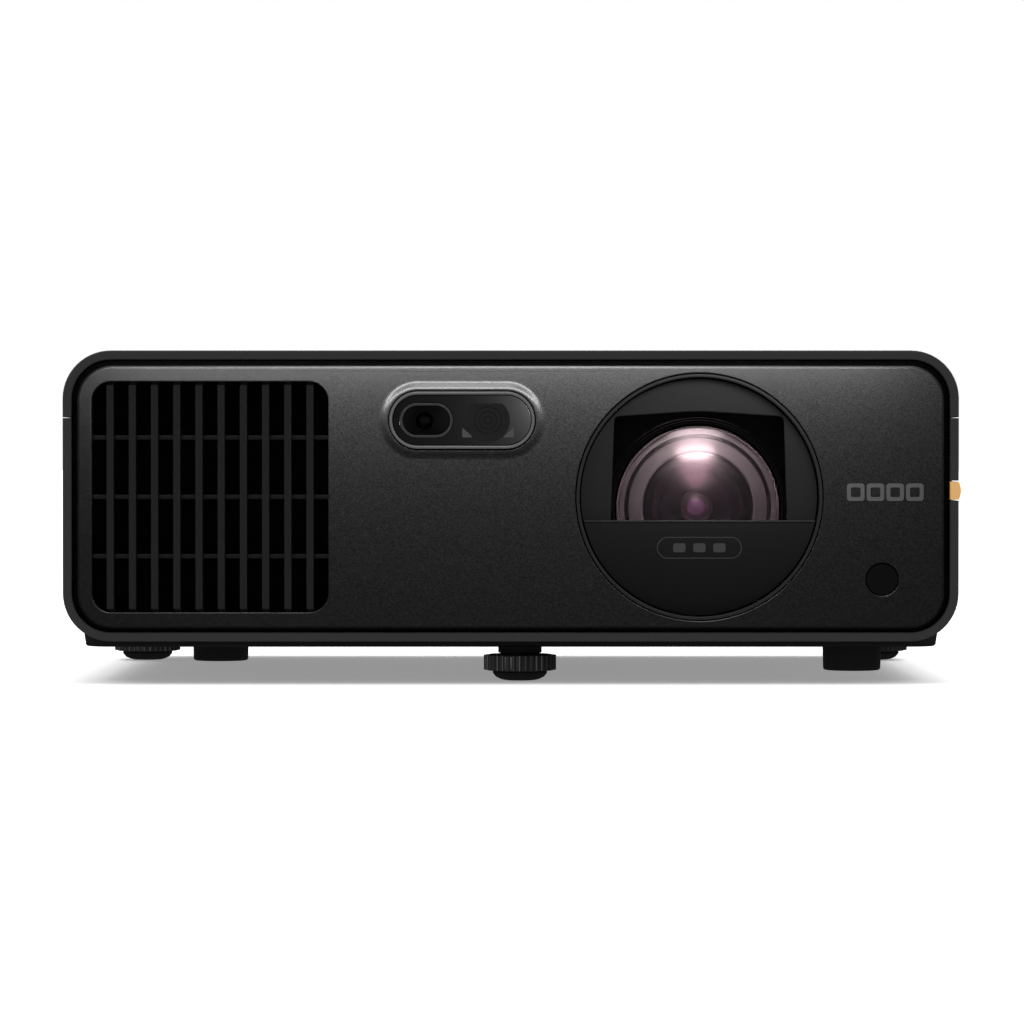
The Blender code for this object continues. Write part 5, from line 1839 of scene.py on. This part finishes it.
def soft_light(name, place, aim, width, height, power, only=None):
    """A rectangular soft light, unseen by the camera, that may light only some pieces."""
    data = bpy.data.lights.new(name, "AREA")
    data.shape = "RECTANGLE"
    data.size, data.size_y = width, height
    data.energy = power
    lamp = bpy.data.objects.new(name, data)
    lamp.location = place
    lamp.rotation_euler = (Vector(aim) - Vector(place)).to_track_quat("-Z", "Y").to_euler()
    lamp.visible_camera = False
    scene.collection.objects.link(lamp)
    if only:
        group = bpy.data.collections.new(name + "_receivers")
        for piece in only:
            group.objects.link(piece)
        lamp.light_linking.receiver_collection = group
    return lamp


badge = bpy.data.objects["badge_squares"]
soft_light("overhead", (0, 0.15, 1.10), (0, 0.05, 0.06), 0.9, 0.6, 4.0)
strip_at, strip_aim = (-0.005, PANEL_Y - 0.058, 0.143), (-0.005, PANEL_Y, 0.143)
soft_light("panel_strip", strip_at, strip_aim, 0.31, 0.02, 0.46, [panel, badge])
soft_light(
    "brow_light", (0, PANEL_Y - 0.37, 0.72), (0, PANEL_Y, 0.11), 0.20, 0.16, 2.6, [panel, bezel]
)
soft_light("tab_light", (0.35, -0.55, 0.25), (tab_high.x, FRONT_Y, tab_z), 0.2, 0.2, 1.6, [tab])
for side in (-1, 1):
    bar_light = (GRILLE_X + side * 0.5, -0.45, GRILLE_Z + 0.1)
    soft_light(
        f"bar_side_light_{side}",
        bar_light,
        (GRILLE_X, FRONT_Y, GRILLE_Z),
        0.1,
        0.5,
        0.15,
        [uprights],
    )
pane_light = (window_high.x + 0.016, window_low.y - 0.022, SENSOR[1] + 0.012)
pane_aim = (window_high.x - 0.008, window_low.y, SENSOR[1])
soft_light("pane_light", pane_light, pane_aim, 0.012, 0.012, 0.08, [window])
fills = [
    soft_light("left_fill", (-1.1, 0.35, 0.75), (-0.1, 0, 0.06), 0.8, 0.5, 3.0),
    soft_light("right_fill", (1.1, 0.35, 0.75), (0.1, 0, 0.06), 0.8, 0.5, 3.0),
    soft_light("rear_fill", (0.25, 1.25, 0.60), (0, 0.1, 0.06), 0.9, 0.5, 4.0),
]
for fill in fills:
    spared = bpy.data.collections.new(fill.name + "_spared")
    spared.objects.link(floor)
    spared.collection_objects[0].light_linking.link_state = "EXCLUDE"
    fill.light_linking.receiver_collection = spared
rung_light = (GRILLE_X, -0.50, GRILLE_Z + 0.35)
soft_light("rung_light", rung_light, (GRILLE_X, FRONT_Y, GRILLE_Z), 0.3, 0.1, 0.25, [levels])
sun_data = bpy.data.lights.new("floor_sun", "SUN")
sun_data.energy = 3.4
sun_data.angle = math.radians(110)
sun = bpy.data.objects.new("floor_sun", sun_data)
scene.collection.objects.link(sun)
sunlit = bpy.data.collections.new("floor_sun_receivers")
sunlit.objects.link(floor)
sun.light_linking.receiver_collection = sunlit
shroud_parts = [
    bpy.data.objects[name] for name in ("lens_shroud_face", "lens_lower_cover", "lens_cover_lip")
]
shroud_parts.append(lens_ring)
shroud_light = (RING[0] + 0.025, PANEL_Y - 0.090, 0.150)
soft_light("shroud_light", shroud_light, (RING[0], PANEL_Y, 0.08), 0.10, 0.04, 0.05, shroud_parts)
cover_parts = [bpy.data.objects[name] for name in ("lens_lower_cover", "lens_cover_lip")]
cover_light = (RING[0], PANEL_Y - 0.035, SILL_Z + 0.030)
soft_light(
    "cover_light", cover_light, (RING[0], PANEL_Y, SILL_Z - 0.01), 0.07, 0.01, 0.008, cover_parts
)
knobs = [piece for piece in bpy.data.objects if "_knob_" in piece.name]
soft_light("knob_light", (-0.6, -0.9, 0.12), (0, -0.09, 0.012), 0.3, 0.2, 2.0, knobs)
glow_place = LENS + Vector((0, -0.40, 0.46))
glass_pieces = [front_glass, second, deep_lens, core_lens]
glow = soft_light("lens_glow", glow_place, LENS, 0.34, 0.15, 2.5, glass_pieces + [barrel])
haze = soft_light(
    "lens_haze", LENS + Vector((0, -0.52, 0.34)), LENS, 0.24, 0.40, 0.42, glass_pieces
)
haze.data.shape = "ELLIPSE"
haze.data.color = (1.0, 0.60, 0.70)
glow.data.shape = "ELLIPSE"
glow.data.color = (1.0, 0.79, 0.84)
blockers = bpy.data.collections.new("lens_glow_blockers")
blockers.objects.link(barrel)
glow.light_linking.blocker_collection = blockers
haze.light_linking.blocker_collection = blockers
